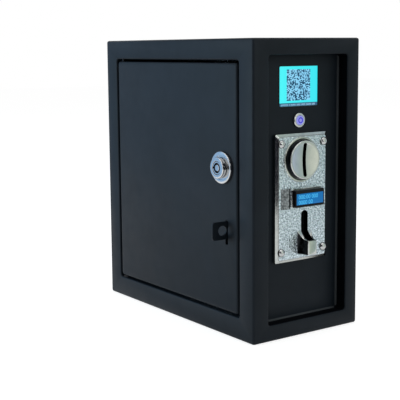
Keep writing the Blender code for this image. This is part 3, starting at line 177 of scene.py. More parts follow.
# Cable gland; ribs and seal are in shares of the cap's radius and the seal's bore
GLAND_RIBS = 20
RIB_HALF = 0.06
RIB_FOOT = 0.95
RIB_CREST = 1.05
SEAL_BORE = 0.46
SEAL_PROFILE = ((0.006, 1.0), (0.001, 1.0), (0.0004, 0.85), (0.0008, 0.6), (0.006, 0.55))

# Controller board, with its parts at (y, z)
BOARD_OFF = 0.0096
CHIP_HALF = 0.0081
RELAY = ((-0.002, 0.188), (0.017, 0.2035))
RELAY_TALL = 0.015
LEG_COUNT = 12
LEG_PITCH = 0.0012
LEG_OUT = 0.0006
LEG_LONG = 0.0009
LEG_WIDE = 0.0003
LEG_TALL = 0.0007
CANS = ((0.009, 0.246, 0.005, 0.013), (0.009, 0.233, 0.005, 0.013), (-0.004, 0.250, 0.004, 0.010),
        (0.010, 0.176, 0.004, 0.009), (-0.016, 0.176, 0.004, 0.009))
CAN_EASE = 0.0004
CABLE_HEADERS = (((-0.041, 0.181), (-0.029, 0.189)), ((-0.041, 0.251), (-0.029, 0.259)))
HEADER_TALL = 0.007
POWER_HEADER = ((-0.030, 0.166), (-0.022, 0.176))
POWER_HEADER_TALL = 0.009
PASSIVE_COUNT = 9
PASSIVE_LONG = 0.003
PASSIVE_WIDE = 0.0016
PASSIVE_TALL = 0.0008
COLUMN_AT = (-0.0335, 0.200)
COLUMN_PITCH = 0.0055
ROW_AT = (-0.0275, 0.229)
ROW_PITCH = 0.004

# Screw heads inside, as radius and height
PAN_HEAD = (0.003, 0.0016)
TRAY_HEAD = (0.004, 0.002)
SUPPLY_HEAD = (0.0026, 0.0018)
CONTACTOR_HEAD = (0.0036, 0.002)
TERMINAL_HEAD = (0.0026, 0.0012)
SCREW_INSET = 0.006
TRAY_INSET = 0.010

# Power supply
SUPPLY_EASE = 0.001
BAY = 0.012
BAY_RIM = 0.003
CUT_PAST = 0.004
VENT_ROWS = 2
VENT_COLUMNS = 11
VENT_FIRST = (0.020, 0.006)
VENT_PITCH = (0.0065, 0.019)
VENT_SIZE = (0.003, 0.015)
VENT_DEPTH = 0.0014
SUPPLY_WAYS = 5
WAY_FIRST = (0.006, 0.008)
WAY_PITCH = 0.0075
WAY_SEAT = 0.005
BASE_Y = (0.0008, 0.0115)
BASE_DEEP = 0.0118
BASE_RIM = 0.0035
WAY_WALL_X = (0.001, 0.006)
WAY_WALL_Z = (-0.0044, -0.0032)

# Contactor and terminal block
CONTACTOR_STEP = 0.014
CONTACTOR_WAYS = (-0.010, 0.008)
CONTACTOR_WALLS = (-0.0185, -0.001, 0.0165)
CONTACTOR_WALL_HALF = 0.0007
CONTACTOR_WALL_IN = 0.003
CAP_BLOCKS = ((0.0015, SKIN, 0.013, 0.012), (0.003, 0.0, 0.005, 0.004))
TERMINAL_WAYS = 6
TERMINAL_SCREW_UP = 0.0055
TERMINAL_WALL_HALF = 0.0006
TERMINAL_WALL_RISE = 0.002
CLAMP_X = (0.0045, 0.0058)
CLAMP_HALF = 0.0024
CLAMP_DOWN = (0.0058, 0.001)

# Coin mechanism, display board, switch and cash box; parts at (x, z) with their height
COVER_RIBS = 4
COVER_RIB_FIRST = 0.014
COVER_RIB_PITCH = 0.010
COVER_RIB_T = 0.0015
COVER_RIB_RISE = 0.0012
COVER_RIB_END = 0.012
COIN_HEADER = (((0.010, 0.1615), (0.022, 0.1715), 0.007),)
DISPLAY_HEADERS = (((0.024, 0.2595), (0.036, 0.2690), 0.007), ((-0.030, 0.2360), (-0.010, 0.2400), 0.003))
DISPLAY_CHIPS = (((-0.020, 0.2500), (-0.006, 0.2640), 0.002), ((0.004, 0.2440), (0.013, 0.2500), 0.0016))
LUG_OUT = 0.0025
LUG_HALF_X = 0.0004
LUG_HALF_Z = 0.0012
LUG_LONG = 0.005
CASH_CORNER_R = 0.004
CASH_RIM_R = 0.0011
CASH_RIM_IN = 0.0012

# Leads
LEAD_R = 0.0019
LEAD_ROUND = 18
SLEEVE_L = 0.007
SLEEVE_R = 0.00228


# Small mesh kit

def place(axis, a, b, t):
    """The point at (a, b) across an axis and t along it."""
    return Vector({'X': (t, a, b), 'Y': (a, t, b), 'Z': (a, b, t)}[axis])


def middle(name, axis):
    """A node's middle across an axis, with its lowest and highest corners."""
    low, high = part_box(name)
    mid = (low + high) / 2
    return {'X': (mid.y, mid.z), 'Y': (mid.x, mid.z), 'Z': (mid.x, mid.y)}[axis], low, high


def circle(mid, radius, sides=ROUND):
    return [(mid[0] + radius * cos(2 * pi * i / sides),
             mid[1] + radius * sin(2 * pi * i / sides)) for i in range(sides)]


def rounded(mid, width, height, radius, steps=CORNER_STEPS):
    points = []
    for turn, (sign_a, sign_b) in enumerate(((1, 1), (-1, 1), (-1, -1), (1, -1))):
        corner = (mid[0] + sign_a * (width / 2 - radius), mid[1] + sign_b * (height / 2 - radius))
        for step in range(steps + 1):
            angle = pi / 2 * (turn + step / steps)
            points.append((corner[0] + radius * cos(angle), corner[1] + radius * sin(angle)))
    return points


def block_outline(mid, width, height, radius):
    """outline(grow) of a rounded rectangle."""
    return lambda grow: rounded(mid, width + 2 * grow, height + 2 * grow, radius + grow)


def loft(axis, sections, ring=False, bm=None):
    """A closed skin through (t, outline) sections; a ring joins its last section to its first."""
    bm = bm or bmesh.new()
    loops = [[bm.verts.new(place(axis, a, b, t)) for a, b in outline] for t, outline in sections]
    return skin(bm, loops, ring)


def skin(bm, loops, ring):
    """Faces between loops of points, closed at both ends or round as a ring."""
    pairs = list(zip(loops, loops[1:]))
    if ring:
        pairs.append((loops[-1], loops[0]))
    else:
        bm.faces.new(loops[0])
        bm.faces.new(loops[-1])
    for low, high in pairs:
        for i in range(len(low)):
            j = (i + 1) % len(low)
            bm.faces.new((low[i], low[j], high[j], high[i]))
    return bm


def hoop(outline_of, steps):
    """A ring through (t, grow) steps of an outline."""
    return loft('Y', [(t, outline_of(grow)) for t, grow in steps], ring=True)


def through(outline, low, high):
    return loft('Y', [(low, outline), (high, outline)])


def quarter(steps):
    """Angles of a quarter turn."""
    return [pi / 2 * step / steps for step in range(steps + 1)]


def over(end, radius, ease, across=None, steps=ARC_STEPS):
    """(t, radius) points of an edge that rounds over from a form's side to its end."""
    across = across or ease
    return [(end + ease * (1 - sin(a)), radius - across * (1 - cos(a))) for a in quarter(steps)]


def turned(axis, mid, profile, sides=ROUND, ring=False, bm=None):
    """A turned form from its (t, radius) profile."""
    return loft(axis, [(t, circle(mid, radius, sides)) for t, radius in profile], ring, bm)


def eased(axis, outline_of, low, high, ease, steps=4, both=True, bm=None):
    """A prism whose high end, and low end if both, rounds over; outline_of(grow) is its outline."""
    turn = 1 if high > low else -1
    under = [(low, 0.0)]
    if both:
        under = reversed(over(low, 0.0, turn * ease, ease, steps))
    edges = [*under, *over(high, 0.0, -turn * ease, ease, steps)]
    return loft(axis, [(t, outline_of(grow)) for t, grow in edges], bm=bm)


def box(low, high, ease=0.0, bm=None):
    """A block with its edges rounded over."""
    mid = ((low[0] + high[0]) / 2, (low[1] + high[1]) / 2)
    size = (high[0] - low[0], high[1] - low[1])
    if not ease:
        outline = [(low[0], low[1]), (high[0], low[1]), (high[0], high[1]), (low[0], high[1])]
        return loft('Z', [(low[2], outline), (high[2], outline)], bm=bm)

    def outline_of(grow):
        return rounded(mid, size[0] + 2 * grow, size[1] + 2 * grow, ease + grow + SKIN, 3)

    return eased('Z', outline_of, low[2], high[2], ease, 3, bm=bm)


def shade(mesh):
    mesh.shade_smooth()
    mesh.set_sharp_from_angle(angle=SMOOTH_ANGLE)


def linked(name, data):
    """A new object in the scene."""
    item = bpy.data.objects.new(name, data)
    bpy.context.scene.collection.objects.link(item)
    return item


def finished(item):
    """An object's mesh with its modifiers applied."""
    return bpy.data.meshes.new_from_object(item.evaluated_get(bpy.context.evaluated_depsgraph_get()))


def closed_mesh(name, bm):
    """A mesh that takes over one under construction."""
    mesh = bpy.data.meshes.new(name)
    bm.to_mesh(mesh)
    bm.free()
    return mesh


def to_object(name, bm):
    bmesh.ops.recalc_face_normals(bm, faces=bm.faces)
    return linked(name, closed_mesh(name, bm))


def piece(name, bm, look, replaced=None, body="cabinet"):
    """A shown piece from a mesh in the row frame, riding on a body."""
    item = to_object(name, bm)
    shade(item.data)
    item.data.materials.append(look)
    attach(item, body)
    if replaced:
        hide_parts(replaced)
    return item


def combine(item, bm, operation):
    """Adds or takes away a solid, with the result applied to the piece's mesh."""
    tool = to_object("tool", bm)
    step = item.modifiers.new("shape", 'BOOLEAN')
    step.operation = operation
    step.solver = 'EXACT'
    step.object = tool
    bpy.context.view_layer.update()
    shaped = finished(item)
    item.modifiers.clear()
    old = item.data
    item.data = shaped
    shaped.name = old.name
    shade(shaped)
    bpy.data.meshes.remove(old)
    mesh = tool.data
    bpy.data.objects.remove(tool)
    bpy.data.meshes.remove(mesh)


def cut(item, bm):
    combine(item, bm, 'DIFFERENCE')


def join(item, bm):
    combine(item, bm, 'UNION')


def second_look(item, look, chosen):
    """Gives the faces that chosen(face) picks another material."""
    item.data.materials.append(look)
    index = len(item.data.materials) - 1
    for face in item.data.polygons:
        if chosen(face):
            face.material_index = index


def off_axis(face, axis, mid):
    """How far a face's middle is from the line along an axis through mid."""
    return dist([part for name, part in zip("XYZ", face.center) if name != axis], mid)


# Materials


def feed(tree, item, inputs):
    """Sets inputs of a shader node, each to a value or to another node's output."""
    for key, value in inputs.items():
        if isinstance(value, bpy.types.NodeSocket):
            tree.links.new(value, item.inputs[key])
        else:
            item.inputs[key].default_value = value
    return item


def node(tree, kind, inputs=None, **settings):
    item = tree.nodes.new("ShaderNode" + kind)
    for key, value in settings.items():
        setattr(item, key, value)
    return feed(tree, item, inputs or {})


def rgba(colour):
    return (*colour, 1.0)


def noise(tree, where, scale, detail=3.0):
    return node(tree, "TexNoise", {"Vector": where, "Scale": scale, "Detail": detail}).outputs["Fac"]


def evenly(*colours):
    """Colour stops spread evenly from 0 to 1; a single colour holds all along."""
    last = max(len(colours) - 1, 1)
    return [(i / last, colours[min(i, len(colours) - 1)]) for i in range(last + 1)]


def ramp(tree, fac, stops):
    """A colour ramp through (position, colour) stops."""
    item = node(tree, "ValToRGB", {"Fac": fac})
    elements = item.color_ramp.elements
    while len(elements) < len(stops):
        elements.new(0.5)
    for element, (position, colour) in zip(elements, stops):
        element.position = position
        element.color = rgba(colour)
    return item.outputs["Color"]


def spread(tree, fac, low, high):
    """A 0 to 1 pattern stretched to low to high."""
    ends = {"From Min": 0.3, "From Max": 0.7, "To Min": low, "To Max": high}
    return node(tree, "MapRange", {"Value": fac, **ends}).outputs["Result"]


def runs_along(tree, axis, low, high, stops):
    """A colour that runs through stops along an object axis from low to high."""
    parts = node(tree, "SeparateXYZ", {"Vector": node(tree, "TexCoord").outputs["Object"]})
    along = node(tree, "MapRange", {"Value": parts.outputs[axis], "From Min": low, "From Max": high})
    return ramp(tree, along.outputs["Result"], stops)


def pebbles(tree, where, scale):
    shape = {"Vector": where, "Scale": scale, "Smoothness": 0.6}
    return node(tree, "TexVoronoi", shape, feature='SMOOTH_F1').outputs["Distance"]


def new_look(name):
    """A material with its node tree and main shader."""
    look = bpy.data.materials.new(name)
    look.use_nodes = True
    return look, look.node_tree, look.node_tree.nodes["Principled BSDF"]


def surface(name, dark, light, rough, metal=0.0, mottle=60.0, grain=900.0, relief=0.15, depth=0.0001,
            edge=0.0003, pebble=False, specular=0.5):
    """A finish: colour drifting between two tones, uneven gloss, fine grain and softened edges."""
    look, tree, shader = new_look(name)
    where = node(tree, "TexCoord").outputs["Object"]
    fine = pebbles(tree, where, grain) if pebble else noise(tree, where, grain)
    soft = node(tree, "Bevel", {"Radius": edge}, samples=4)
    bump = node(tree, "Bump", {"Strength": relief, "Distance": depth, "Height": fine,
                               "Normal": soft.outputs["Normal"]})
    feed(tree, shader, {
        "Metallic": metal, "Specular IOR Level": specular, "Normal": bump.outputs["Normal"],
        "Base Color": ramp(tree, noise(tree, where, mottle, 5.0), ((0.3, dark), (0.7, light))),
        "Roughness": spread(tree, noise(tree, where, mottle * 3), *rough)})
    return look


def glowing(name, axis, low, high, stops, rough=0.12):
    """A lit face whose colour runs along an axis from low to high."""
    look, tree, shader = new_look(name)
    where = node(tree, "TexCoord").outputs["Object"]
    feed(tree, shader, {
        "Base Color": rgba([0.1 * tone for tone in stops[-1][1]]), "Specular IOR Level": 0.2,
        "Emission Strength": 1.0, "Emission Color": runs_along(tree, axis, low, high, stops),
        "Roughness": spread(tree, noise(tree, where, 300.0), rough, rough * 1.6)})
    return look


PAINTED = dict(rough=(0.42, 0.50), mottle=25.0, grain=1400.0, relief=0.10, depth=0.00006)
CAST = dict(metal=1.0, mottle=480.0, grain=620.0, relief=1.0, pebble=True)
PLATED = dict(metal=1.0, mottle=120.0, grain=1800.0)
DRAWN = dict(metal=1.0, mottle=160.0, grain=2000.0, relief=0.06, depth=0.00005)
MOULDED = dict(mottle=80.0, grain=2600.0)
FRAMED = dict(mottle=70.0, grain=2200.0, depth=0.00006)
SLEEVED = dict(rough=(0.34, 0.44), mottle=200.0)

PAINT = surface("black_paint", (0.0070, 0.0105, 0.0145), (0.0095, 0.0140, 0.0195), **PAINTED, edge=0.0006,
                specular=0.10)
# Painted highlight: a lighter paint for the recess's bends, for the line of light they catch.
BEND_HIGHLIGHT = surface("bend_painted_highlight", (0.034, 0.040, 0.044), (0.045, 0.052, 0.057), **PAINTED, specular=0.10)
# Painted shade: a deeper black for the recess's walls, which lie in shade.
RECESS_SHADE = surface("recess_painted_shade", (0.0015, 0.002, 0.003), (0.0025, 0.003, 0.004), **PAINTED, specular=0.02)
ZINC = surface("cast_zinc", (0.17, 0.21, 0.24), (0.69, 0.78, 0.84), (0.18, 0.34), **CAST, depth=0.0005)
# Painted shade: a darker copy of the cast zinc for the wedge, which lies in shade.
SHADED_WEDGE_ZINC = surface("wedge_painted_shade_zinc", (0.05, 0.06, 0.06), (0.34, 0.37, 0.38), (0.30, 0.45), **CAST, depth=0.0006)
SMOOTH_ZINC = surface("smooth_zinc", (0.40, 0.42, 0.41), (0.50, 0.52, 0.50), (0.12, 0.20), 1.0, mottle=150.0,
                      grain=1500.0, relief=0.06, depth=0.00006, edge=0.00015)
POLISHED = surface("polished_metal", (0.49, 0.50, 0.51), (0.57, 0.57, 0.57), (0.07, 0.14), 1.0, mottle=80.0,
                   grain=2500.0, relief=0.03, depth=0.00005, edge=0.0002)
SCREW_METAL = surface("screw_metal", (0.40, 0.41, 0.41), (0.48, 0.49, 0.49), (0.16, 0.24), **PLATED,
                      relief=0.04, depth=0.00005)
# Painted shade and reflection: a near-black metal for walls, sides and pins that lie in shade or mirror dark
# surroundings.
SHADE_AND_REFLECTION_METAL = surface("painted_shade_and_reflection_metal", (0.010, 0.011, 0.012), (0.020, 0.021, 0.023), (0.12, 0.20), **PLATED,
                     relief=0.04, depth=0.00005)
STEEL = surface("plated_steel", (0.48, 0.49, 0.50), (0.62, 0.63, 0.64), (0.26, 0.42), **PLATED, relief=0.08,
                depth=0.00006)
BRASS = surface("brass", (0.62, 0.42, 0.14), (0.80, 0.58, 0.24), (0.20, 0.34), **DRAWN)
YELLOW_BRASS = surface("yellow_brass", (0.72, 0.52, 0.05), (0.86, 0.66, 0.09), (0.22, 0.34), **DRAWN)
# Painted shade: a darkened brass for contacts and pins that sit deep in their openings.
SHADED_BRASS = surface("painted_shade_brass", (0.060, 0.045, 0.020), (0.110, 0.080, 0.036), (0.40, 0.55), **DRAWN)
# Black plastic, also used as painted shade in the lock's keyway and dimples and in the supply's vents.
BLACK_PLASTIC_AND_SHADE = surface("black_plastic", (0.012, 0.012, 0.013), (0.020, 0.020, 0.022), (0.32, 0.46),
                        **MOULDED, relief=0.12, depth=0.00006, specular=0.45)
GLOSS_BLACK = surface("gloss_black", (0.006, 0.006, 0.007), (0.010, 0.010, 0.012), (0.10, 0.18), **MOULDED,
                      relief=0.02, depth=0.00004, specular=0.15)
GREY_PLASTIC = surface("grey_plastic", (0.040, 0.040, 0.042), (0.055, 0.055, 0.058), (0.38, 0.50), **FRAMED,
                       relief=0.12)
PALE_PLASTIC = surface("pale_plastic", (0.52, 0.53, 0.52), (0.60, 0.61, 0.60), (0.36, 0.48), **FRAMED,
                       relief=0.10)
BOARD = surface("green_board", (0.010, 0.085, 0.040), (0.018, 0.120, 0.055), (0.26, 0.36), mottle=400.0,
                grain=900.0, relief=0.20, depth=0.00005)
RED_LEAD = surface("red_lead", (0.42, 0.020, 0.018), (0.52, 0.030, 0.026), **SLEEVED)
BLACK_LEAD = surface("black_lead", (0.012, 0.012, 0.013), (0.022, 0.022, 0.024), (0.34, 0.46), mottle=200.0)
WHITE_LEAD = surface("white_lead", (0.66, 0.66, 0.64), (0.76, 0.76, 0.74), **SLEEVED)
GREEN_LEAD = surface("green_lead", (0.015, 0.170, 0.040), (0.025, 0.230, 0.060), **SLEEVED)

SLOT_LOOKS = {"black_paint": PAINT, "cast_zinc": ZINC, "polished_metal": POLISHED, "steel": STEEL,
              "brass": BRASS, "black_plastic": BLACK_PLASTIC_AND_SHADE, "grey_plastic": GREY_PLASTIC,
              "pale_plastic": PALE_PLASTIC, "green_board": BOARD, "red_lead": RED_LEAD,
              "black_lead": BLACK_LEAD, "white_lead": WHITE_LEAD, "green_lead": GREEN_LEAD}

# Each lead's slot and route, from terminal to terminal
LEADS = (
    ("lead_hot_1", "red_lead",
     ((0.0125, 0.078, 0.1513), (0.0125, 0.078, 0.1653), (0.006, 0.074, 0.188), (-0.006, 0.080, 0.211),
      (-0.012, 0.0934, 0.219), (-0.012, 0.1034, 0.219))),
    ("lead_hot_2", "black_lead",
     ((0.0125, 0.096, 0.1513), (0.0125, 0.096, 0.1633), (0.005, 0.089, 0.180), (-0.002, 0.086, 0.193),
      (-0.004, 0.0934, 0.2005), (-0.004, 0.1034, 0.2005))),
    ("lead_neutral", "white_lead",
     ((0.0445, 0.0567, 0.1013), (0.0445, 0.0567, 0.1123), (0.040, 0.056, 0.140), (0.030, 0.056, 0.170),
      (0.018, 0.066, 0.195), (0.010, 0.0914, 0.205), (0.010, 0.1034, 0.205))),
    ("lead_ground", "green_lead",
     ((0.0445, 0.0460, 0.1013), (0.0445, 0.0460, 0.1123), (0.040, 0.045, 0.145), (0.030, 0.046, 0.185),
      (0.020, 0.058, 0.216), (0.012, 0.0894, 0.232), (0.010, 0.1034, 0.232))),
    ("display_cable", "black_lead",
     ((0.0536, -0.035, 0.255), (0.0466, -0.035, 0.255), (0.041, -0.046, 0.257), (0.034, -0.070, 0.2633),
      (0.030, -0.1002, 0.2643), (0.030, -0.1162, 0.2643))),
    ("coin_cable", "black_lead",
     ((0.0536, -0.035, 0.185), (0.0466, -0.035, 0.185), (0.034, -0.037, 0.180), (0.020, -0.0447, 0.1716),
      (0.016, -0.0547, 0.1676), (0.016, -0.0647, 0.1666))))


# Coin plate

def plate_casting():
    mid, low, high = middle("coin_faceplate", 'Y')
    back, up = high.y, mid[1]
    front = back - PLATE_T
    deep, out = back + PLATE_T, front - PLATE_T
    width, height = high.x - low.x, high.z - low.z
    foot = rounded(mid, width, height, PLATE_FOOT_R)
    edge = block_outline(mid, width - 2 * PLATE_FLANK, height - 2 * PLATE_FLANK, PLATE_CORNER_R)
    sections = [(back, foot), (back - PLATE_FOOT, foot)]
    sections += [(t, edge(grow)) for t, grow in over(front, 0.0, PLATE_EDGE_R)]
    item = piece("plate_casting", loft('Y', sections), SMOOTH_ZINC, "coin_faceplate")
    disc_mid, disc_low, disc_high = middle("coin_entry_disc", 'Y')
    ring = [(front + RING_RISE, RING_R)] + over(front - RING_RISE, RING_R, RING_RISE)
    join(item, turned('Y', disc_mid, ring))
    join(item, loft('Y', spout_sections(front, up)))
    cut(item, through(circle(disc_mid, (disc_high.x - disc_low.x) / 2 + RUN_CLEAR), deep, out))
    lcd_mid, lcd_low, lcd_high = middle("coin_lcd_block", 'Y')
    readout = block_outline(lcd_mid, lcd_high.x - lcd_low.x, lcd_high.z - lcd_low.z, READOUT_CORNER_R)
    cut(item, through(readout(RUN_CLEAR), deep, out))
    gap_left = WEDGE_RIGHT + GAP_LEFT
    gap_right = gap_left + GAP_WIDE
    cut(item, box((gap_left, out, up - WEDGE_DOWN), (gap_right, deep, up + WEDGE_UP)))
    top, floor = up - RETURN_TOP_DOWN, up - RETURN_FLOOR_DOWN
    slot = rounded((RETURN_X, (top + floor) / 2), RETURN_W, top - floor, RETURN_W / 2 - SKIN)
    cut(item, through(slot, deep, front - SPOUT_REACH + SPOUT_FRONT_WALL))
    second_look(item, ZINC, lambda face: face.normal.y < -0.99 and abs(face.center.y - front) < SKIN)

    def shaded(face):
        """Painted shade and reflection in near-black metal: the walls of the gap and the return slot, and
        the cup's sides.
        """
        wall = abs(face.normal.y) < 0.5
        if gap_left - SKIN < face.center.x < gap_right + SKIN and wall and abs(face.normal.x) > 0.9:
            return True
        in_slot = wall and abs(face.center.x - RETURN_X) < RETURN_W / 2 + SKIN
        cup_side = abs(face.normal.x) > 0.6 and face.center.y < front - SKIN
        return face.center.z < top and (in_slot or cup_side)

    second_look(item, SHADE_AND_REFLECTION_METAL, shaded)
    readout_frame(front, readout)
    plate_wedge(front, up)


def spout_sections(front, up):
    """The coin cup from the plate out: its sides draw in and its rim sweeps down to the front lip."""
    sections = []
    low = up - SPOUT_LOW_DOWN
    for step in range(SPOUT_STEPS + 1):
        left = 1 - step / SPOUT_STEPS
        half = RETURN_W / 2 + SPOUT_WALL + SPOUT_FLARE * left ** 2
        rim = up - SPOUT_LIP_DOWN + (SPOUT_LIP_DOWN - SPOUT_ROOT_DOWN) * left ** 2
        outline = rounded((RETURN_X, (low + rim) / 2), 2 * half, rim - low, PLATE_EDGE_R, 4)
        sections.append((front - (SPOUT_REACH - SPOUT_EDGE_R) * (1 - left), outline))
    lip = [(front - SPOUT_REACH + SPOUT_EDGE_R * (1 - sin(a)),
            rounded((RETURN_X, (low + rim) / 2), 2 * (half - SPOUT_EDGE_R * (1 - cos(a))),
                    rim - low - PLATE_EDGE_R * sin(a), PLATE_EDGE_R, 4)) for a in quarter(4)[1:]]
    return [(front + PLATE_T / 2, sections[0][1])] + sections + lip


def readout_frame(front, readout):
    ease = PLATE_EDGE_R / 2
    crest = front - FRAME_RISE - ease
    steps = [(front + SKIN, FRAME_WIDE), (front - FRAME_RISE, FRAME_WIDE), (crest, FRAME_WIDE - ease),
             (crest, RUN_CLEAR), (front + SKIN, RUN_CLEAR)]
    piece("readout_frame", hoop(readout, steps), SMOOTH_ZINC)


def plate_wedge(front, up):
    ease = PLATE_EDGE_R / 2
    crest = front - WEDGE_RISE
    profile = [(WEDGE_LEFT, front + SKIN), (WEDGE_RIGHT, front + SKIN), (WEDGE_RIGHT, crest + ease),
               (WEDGE_RIGHT - ease, crest), (WEDGE_LEFT + ease, front - ease), (WEDGE_LEFT, front - SKIN)]
    wedge = loft('Z', [(up - WEDGE_DOWN, profile), (up + WEDGE_UP, profile)])
    # Painted shade: the wedge takes a darker copy of the zinc.
    piece("plate_wedge", wedge, SHADED_WEDGE_ZINC)


def coin_disc():
    mid, low, high = middle("coin_entry_disc", 'Y')
    radius = (high.x - low.x) / 2
    face = low.y
    rim = DISC_FACE_R - 2 * DISC_EASE
    profile = [(high.y, radius), (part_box("coin_faceplate")[1].y - PLATE_T - RING_RISE, radius)]
    profile += over(face, DISC_FACE_R, DISC_EASE)
    for step in range(DISH_RINGS):
        r = rim * (1 - step / DISH_RINGS)
        profile.append((face + DISC_DISH * (1 - (r / rim) ** 2), r))
    item = piece("coin_disc", turned('Y', mid, profile), POLISHED, "coin_entry_disc",
                 body="coin_disc")
    slot = rounded(mid, COIN_SLOT_W, COIN_SLOT_H, COIN_SLOT_W / 2 - SKIN)
    cut(item, through(slot, high.y + PLATE_T, face - PLATE_T))

    def shaded(area):
        """Painted shade and reflection in near-black metal: the disc's side and the walls of its slot."""
        out = off_axis(area, 'Y', mid)
        side = out > DISC_FACE_R and area.center.y > face + DISC_EASE
        return side or (out < rim and abs(area.normal.y) < 0.5)

    second_look(item, SHADE_AND_REFLECTION_METAL, shaded)


def dome_screw(bm, axis, mid, seat, out, radius, height, sides=SMALL_ROUND):
    """A screw's rounded head on its seat."""
    profile = [(seat, radius)]
    profile += [(seat + out * height * sin(a), radius * cos(a)) for a in quarter(8)[:-1]]
    turned(axis, mid, profile + [(seat + out * height, radius / 20)], sides, bm=bm)


def plate_screws():
    for number in "1234":
        name = "faceplate_screw_" + number
        mid, low, high = middle(name, 'Y')
        seat = low.y + SCREW_HEAD_T
        screw = bmesh.new()
        dome_screw(screw, 'Y', mid, seat, -1, (high.x - low.x) / 2, SCREW_HEAD_T)
        turned('Y', mid, [(high.y, SCREW_SHANK_R), (seat, SCREW_SHANK_R)], SMALL_ROUND, bm=screw)
        item = piece("plate_screw_" + number, screw, SCREW_METAL, name)
        # Painted shade: the heads' steep sides are near-black, a dark outline round each dome.
        second_look(item, SHADE_AND_REFLECTION_METAL, lambda face: abs(face.normal.y) < 0.4)


def coin_readout():
    mid, low, high = middle("coin_lcd_block", 'Y')
    screen_low, screen_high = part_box("coin_lcd_screen")
    edge = block_outline(mid, high.x - low.x, high.z - low.z, READOUT_CORNER_R)
    item = piece("readout_housing", eased('Y', edge, high.y, low.y, PLATE_EDGE_R, both=False),
                 GLOSS_BLACK, "coin_lcd_block")
    clear = Vector((RUN_CLEAR, RUN_CLEAR, RUN_CLEAR))
    seat_low = screen_low - clear
    seat_low.y = low.y - PLATE_T
    cut(item, box(seat_low, screen_high + clear))
    left, right = screen_low.x, screen_high.x
    blue = glowing("blue_display", "X", left, right,
                   evenly((0.004, 0.15, 0.39), (0.004, 0.16, 0.44), (0.004, 0.13, 0.38)))
    screen = box(screen_low, screen_high, RUN_CLEAR / 2)
    piece("readout_screen", screen, blue, "coin_lcd_screen")
    glow = glowing("digit_glow", "X", left, right, evenly((0.08, 0.52, 0.90), (0.06, 0.48, 0.88)))
    centre = (screen_low.z + screen_high.z) / 2
    for number, (words, up) in enumerate(DIGIT_ROWS, 1):
        digits("readout_row_%d" % number, words, (left + DIGIT_LEFT, screen_low.y - SKIN / 2, centre + up),
               DIGIT_H, glow)


def digits(name, words, at, height, glow):
    """Plain numbers on a screen that faces -Y, as thin raised strokes."""
    curve = bpy.data.curves.new(name, 'FONT')
    curve.body = words
    curve.size = height * DIGIT_LINE
    curve.align_y = 'CENTER'
    curve.extrude = SKIN / 4
    source = linked(name, curve)
    mesh = finished(source)
    bpy.data.objects.remove(source)
    bpy.data.curves.remove(curve)
    strokes = bmesh.new()
    strokes.from_mesh(mesh)
    bpy.data.meshes.remove(mesh)
    strokes.transform(Matrix.Translation(at) @ Matrix.Rotation(pi / 2, 4, 'X'))
    piece(name, strokes, glow)


# Lock and push button

def lock():
    mid, low, high = middle("lock_housing", 'X')
    plug_low, plug_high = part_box("lock_plug")
    plug_r = (plug_high.y - plug_low.y) / 2
    flange_r = (high.y - low.y) / 2
    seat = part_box("door_panel")[0].x - RUN_CLEAR
    face = seat - LOCK_FLANGE_T
    ease = LOCK_FLANGE_T / 3
    bore = plug_r + RUN_CLEAR
    profile = [(high.x, bore), (high.x, LOCK_THREAD_R), (seat, LOCK_THREAD_R), (seat, flange_r)]
    profile += over(face, flange_r, ease)
    profile += [(face, LOCK_GROOVE_R), (face + ease, LOCK_GROOVE_R - ease / 4), (face + ease, LOCK_NOSE_R)]
    profile += over(low.x, LOCK_NOSE_R, ease)
    profile += [(low.x, bore + RUN_CLEAR), (low.x + RUN_CLEAR, bore)]
    collar = piece("lock_collar", turned('X', mid, profile, ring=True), POLISHED, "lock_housing",
                   body="door")
    along = (low.x + face) / 2
    for axis, centre, at in (('Y', (along, mid[1]), mid[0]), ('Z', (along, mid[0]), mid[1])):
        for side in (-1, 1):
            dimple = [(at + side * (LOCK_NOSE_R + ease), DIMPLE_R),
                      (at + side * (LOCK_NOSE_R - DIMPLE_DEPTH), DIMPLE_R / 2)]
            cut(collar, turned(axis, centre, dimple, SMALL_ROUND))
    # Painted shade: the dimples' insides are black.
    second_look(collar, BLACK_PLASTIC_AND_SHADE, lambda area: low.x + ease < area.center.x < face - ease / 2
                and bore + SKIN < off_axis(area, 'X', mid) < LOCK_NOSE_R - SKIN)
    front = plug_low.x
    floor = front + KEYWAY_DEPTH
    plug = [(plug_high.x, plug_r), (front + RUN_CLEAR, plug_r), (front, plug_r - RUN_CLEAR),
            (front, KEYWAY_R), (floor, KEYWAY_R), (floor, KEYPOST_R), (front + RUN_CLEAR, KEYPOST_R),
            (front, KEYPOST_R - RUN_CLEAR), (front, KEYPOST_R / 30)]
    barrel = piece("lock_barrel", turned('X', mid, plug), POLISHED, "lock_plug", body="lock")
    cut(barrel, box((front - KEYWAY_DEPTH, mid[0] + KEYPOST_R, mid[1] - KEY_NOTCH / 2),
                    (floor, mid[0] + plug_r - RUN_CLEAR, mid[1] + KEY_NOTCH / 2)))
    # Painted shade: the keyway's floor and walls are black.
    second_look(barrel, BLACK_PLASTIC_AND_SHADE, lambda area: area.center.x > front + SKIN
                and KEYPOST_R + SKIN < off_axis(area, 'X', mid) < plug_r - SKIN)


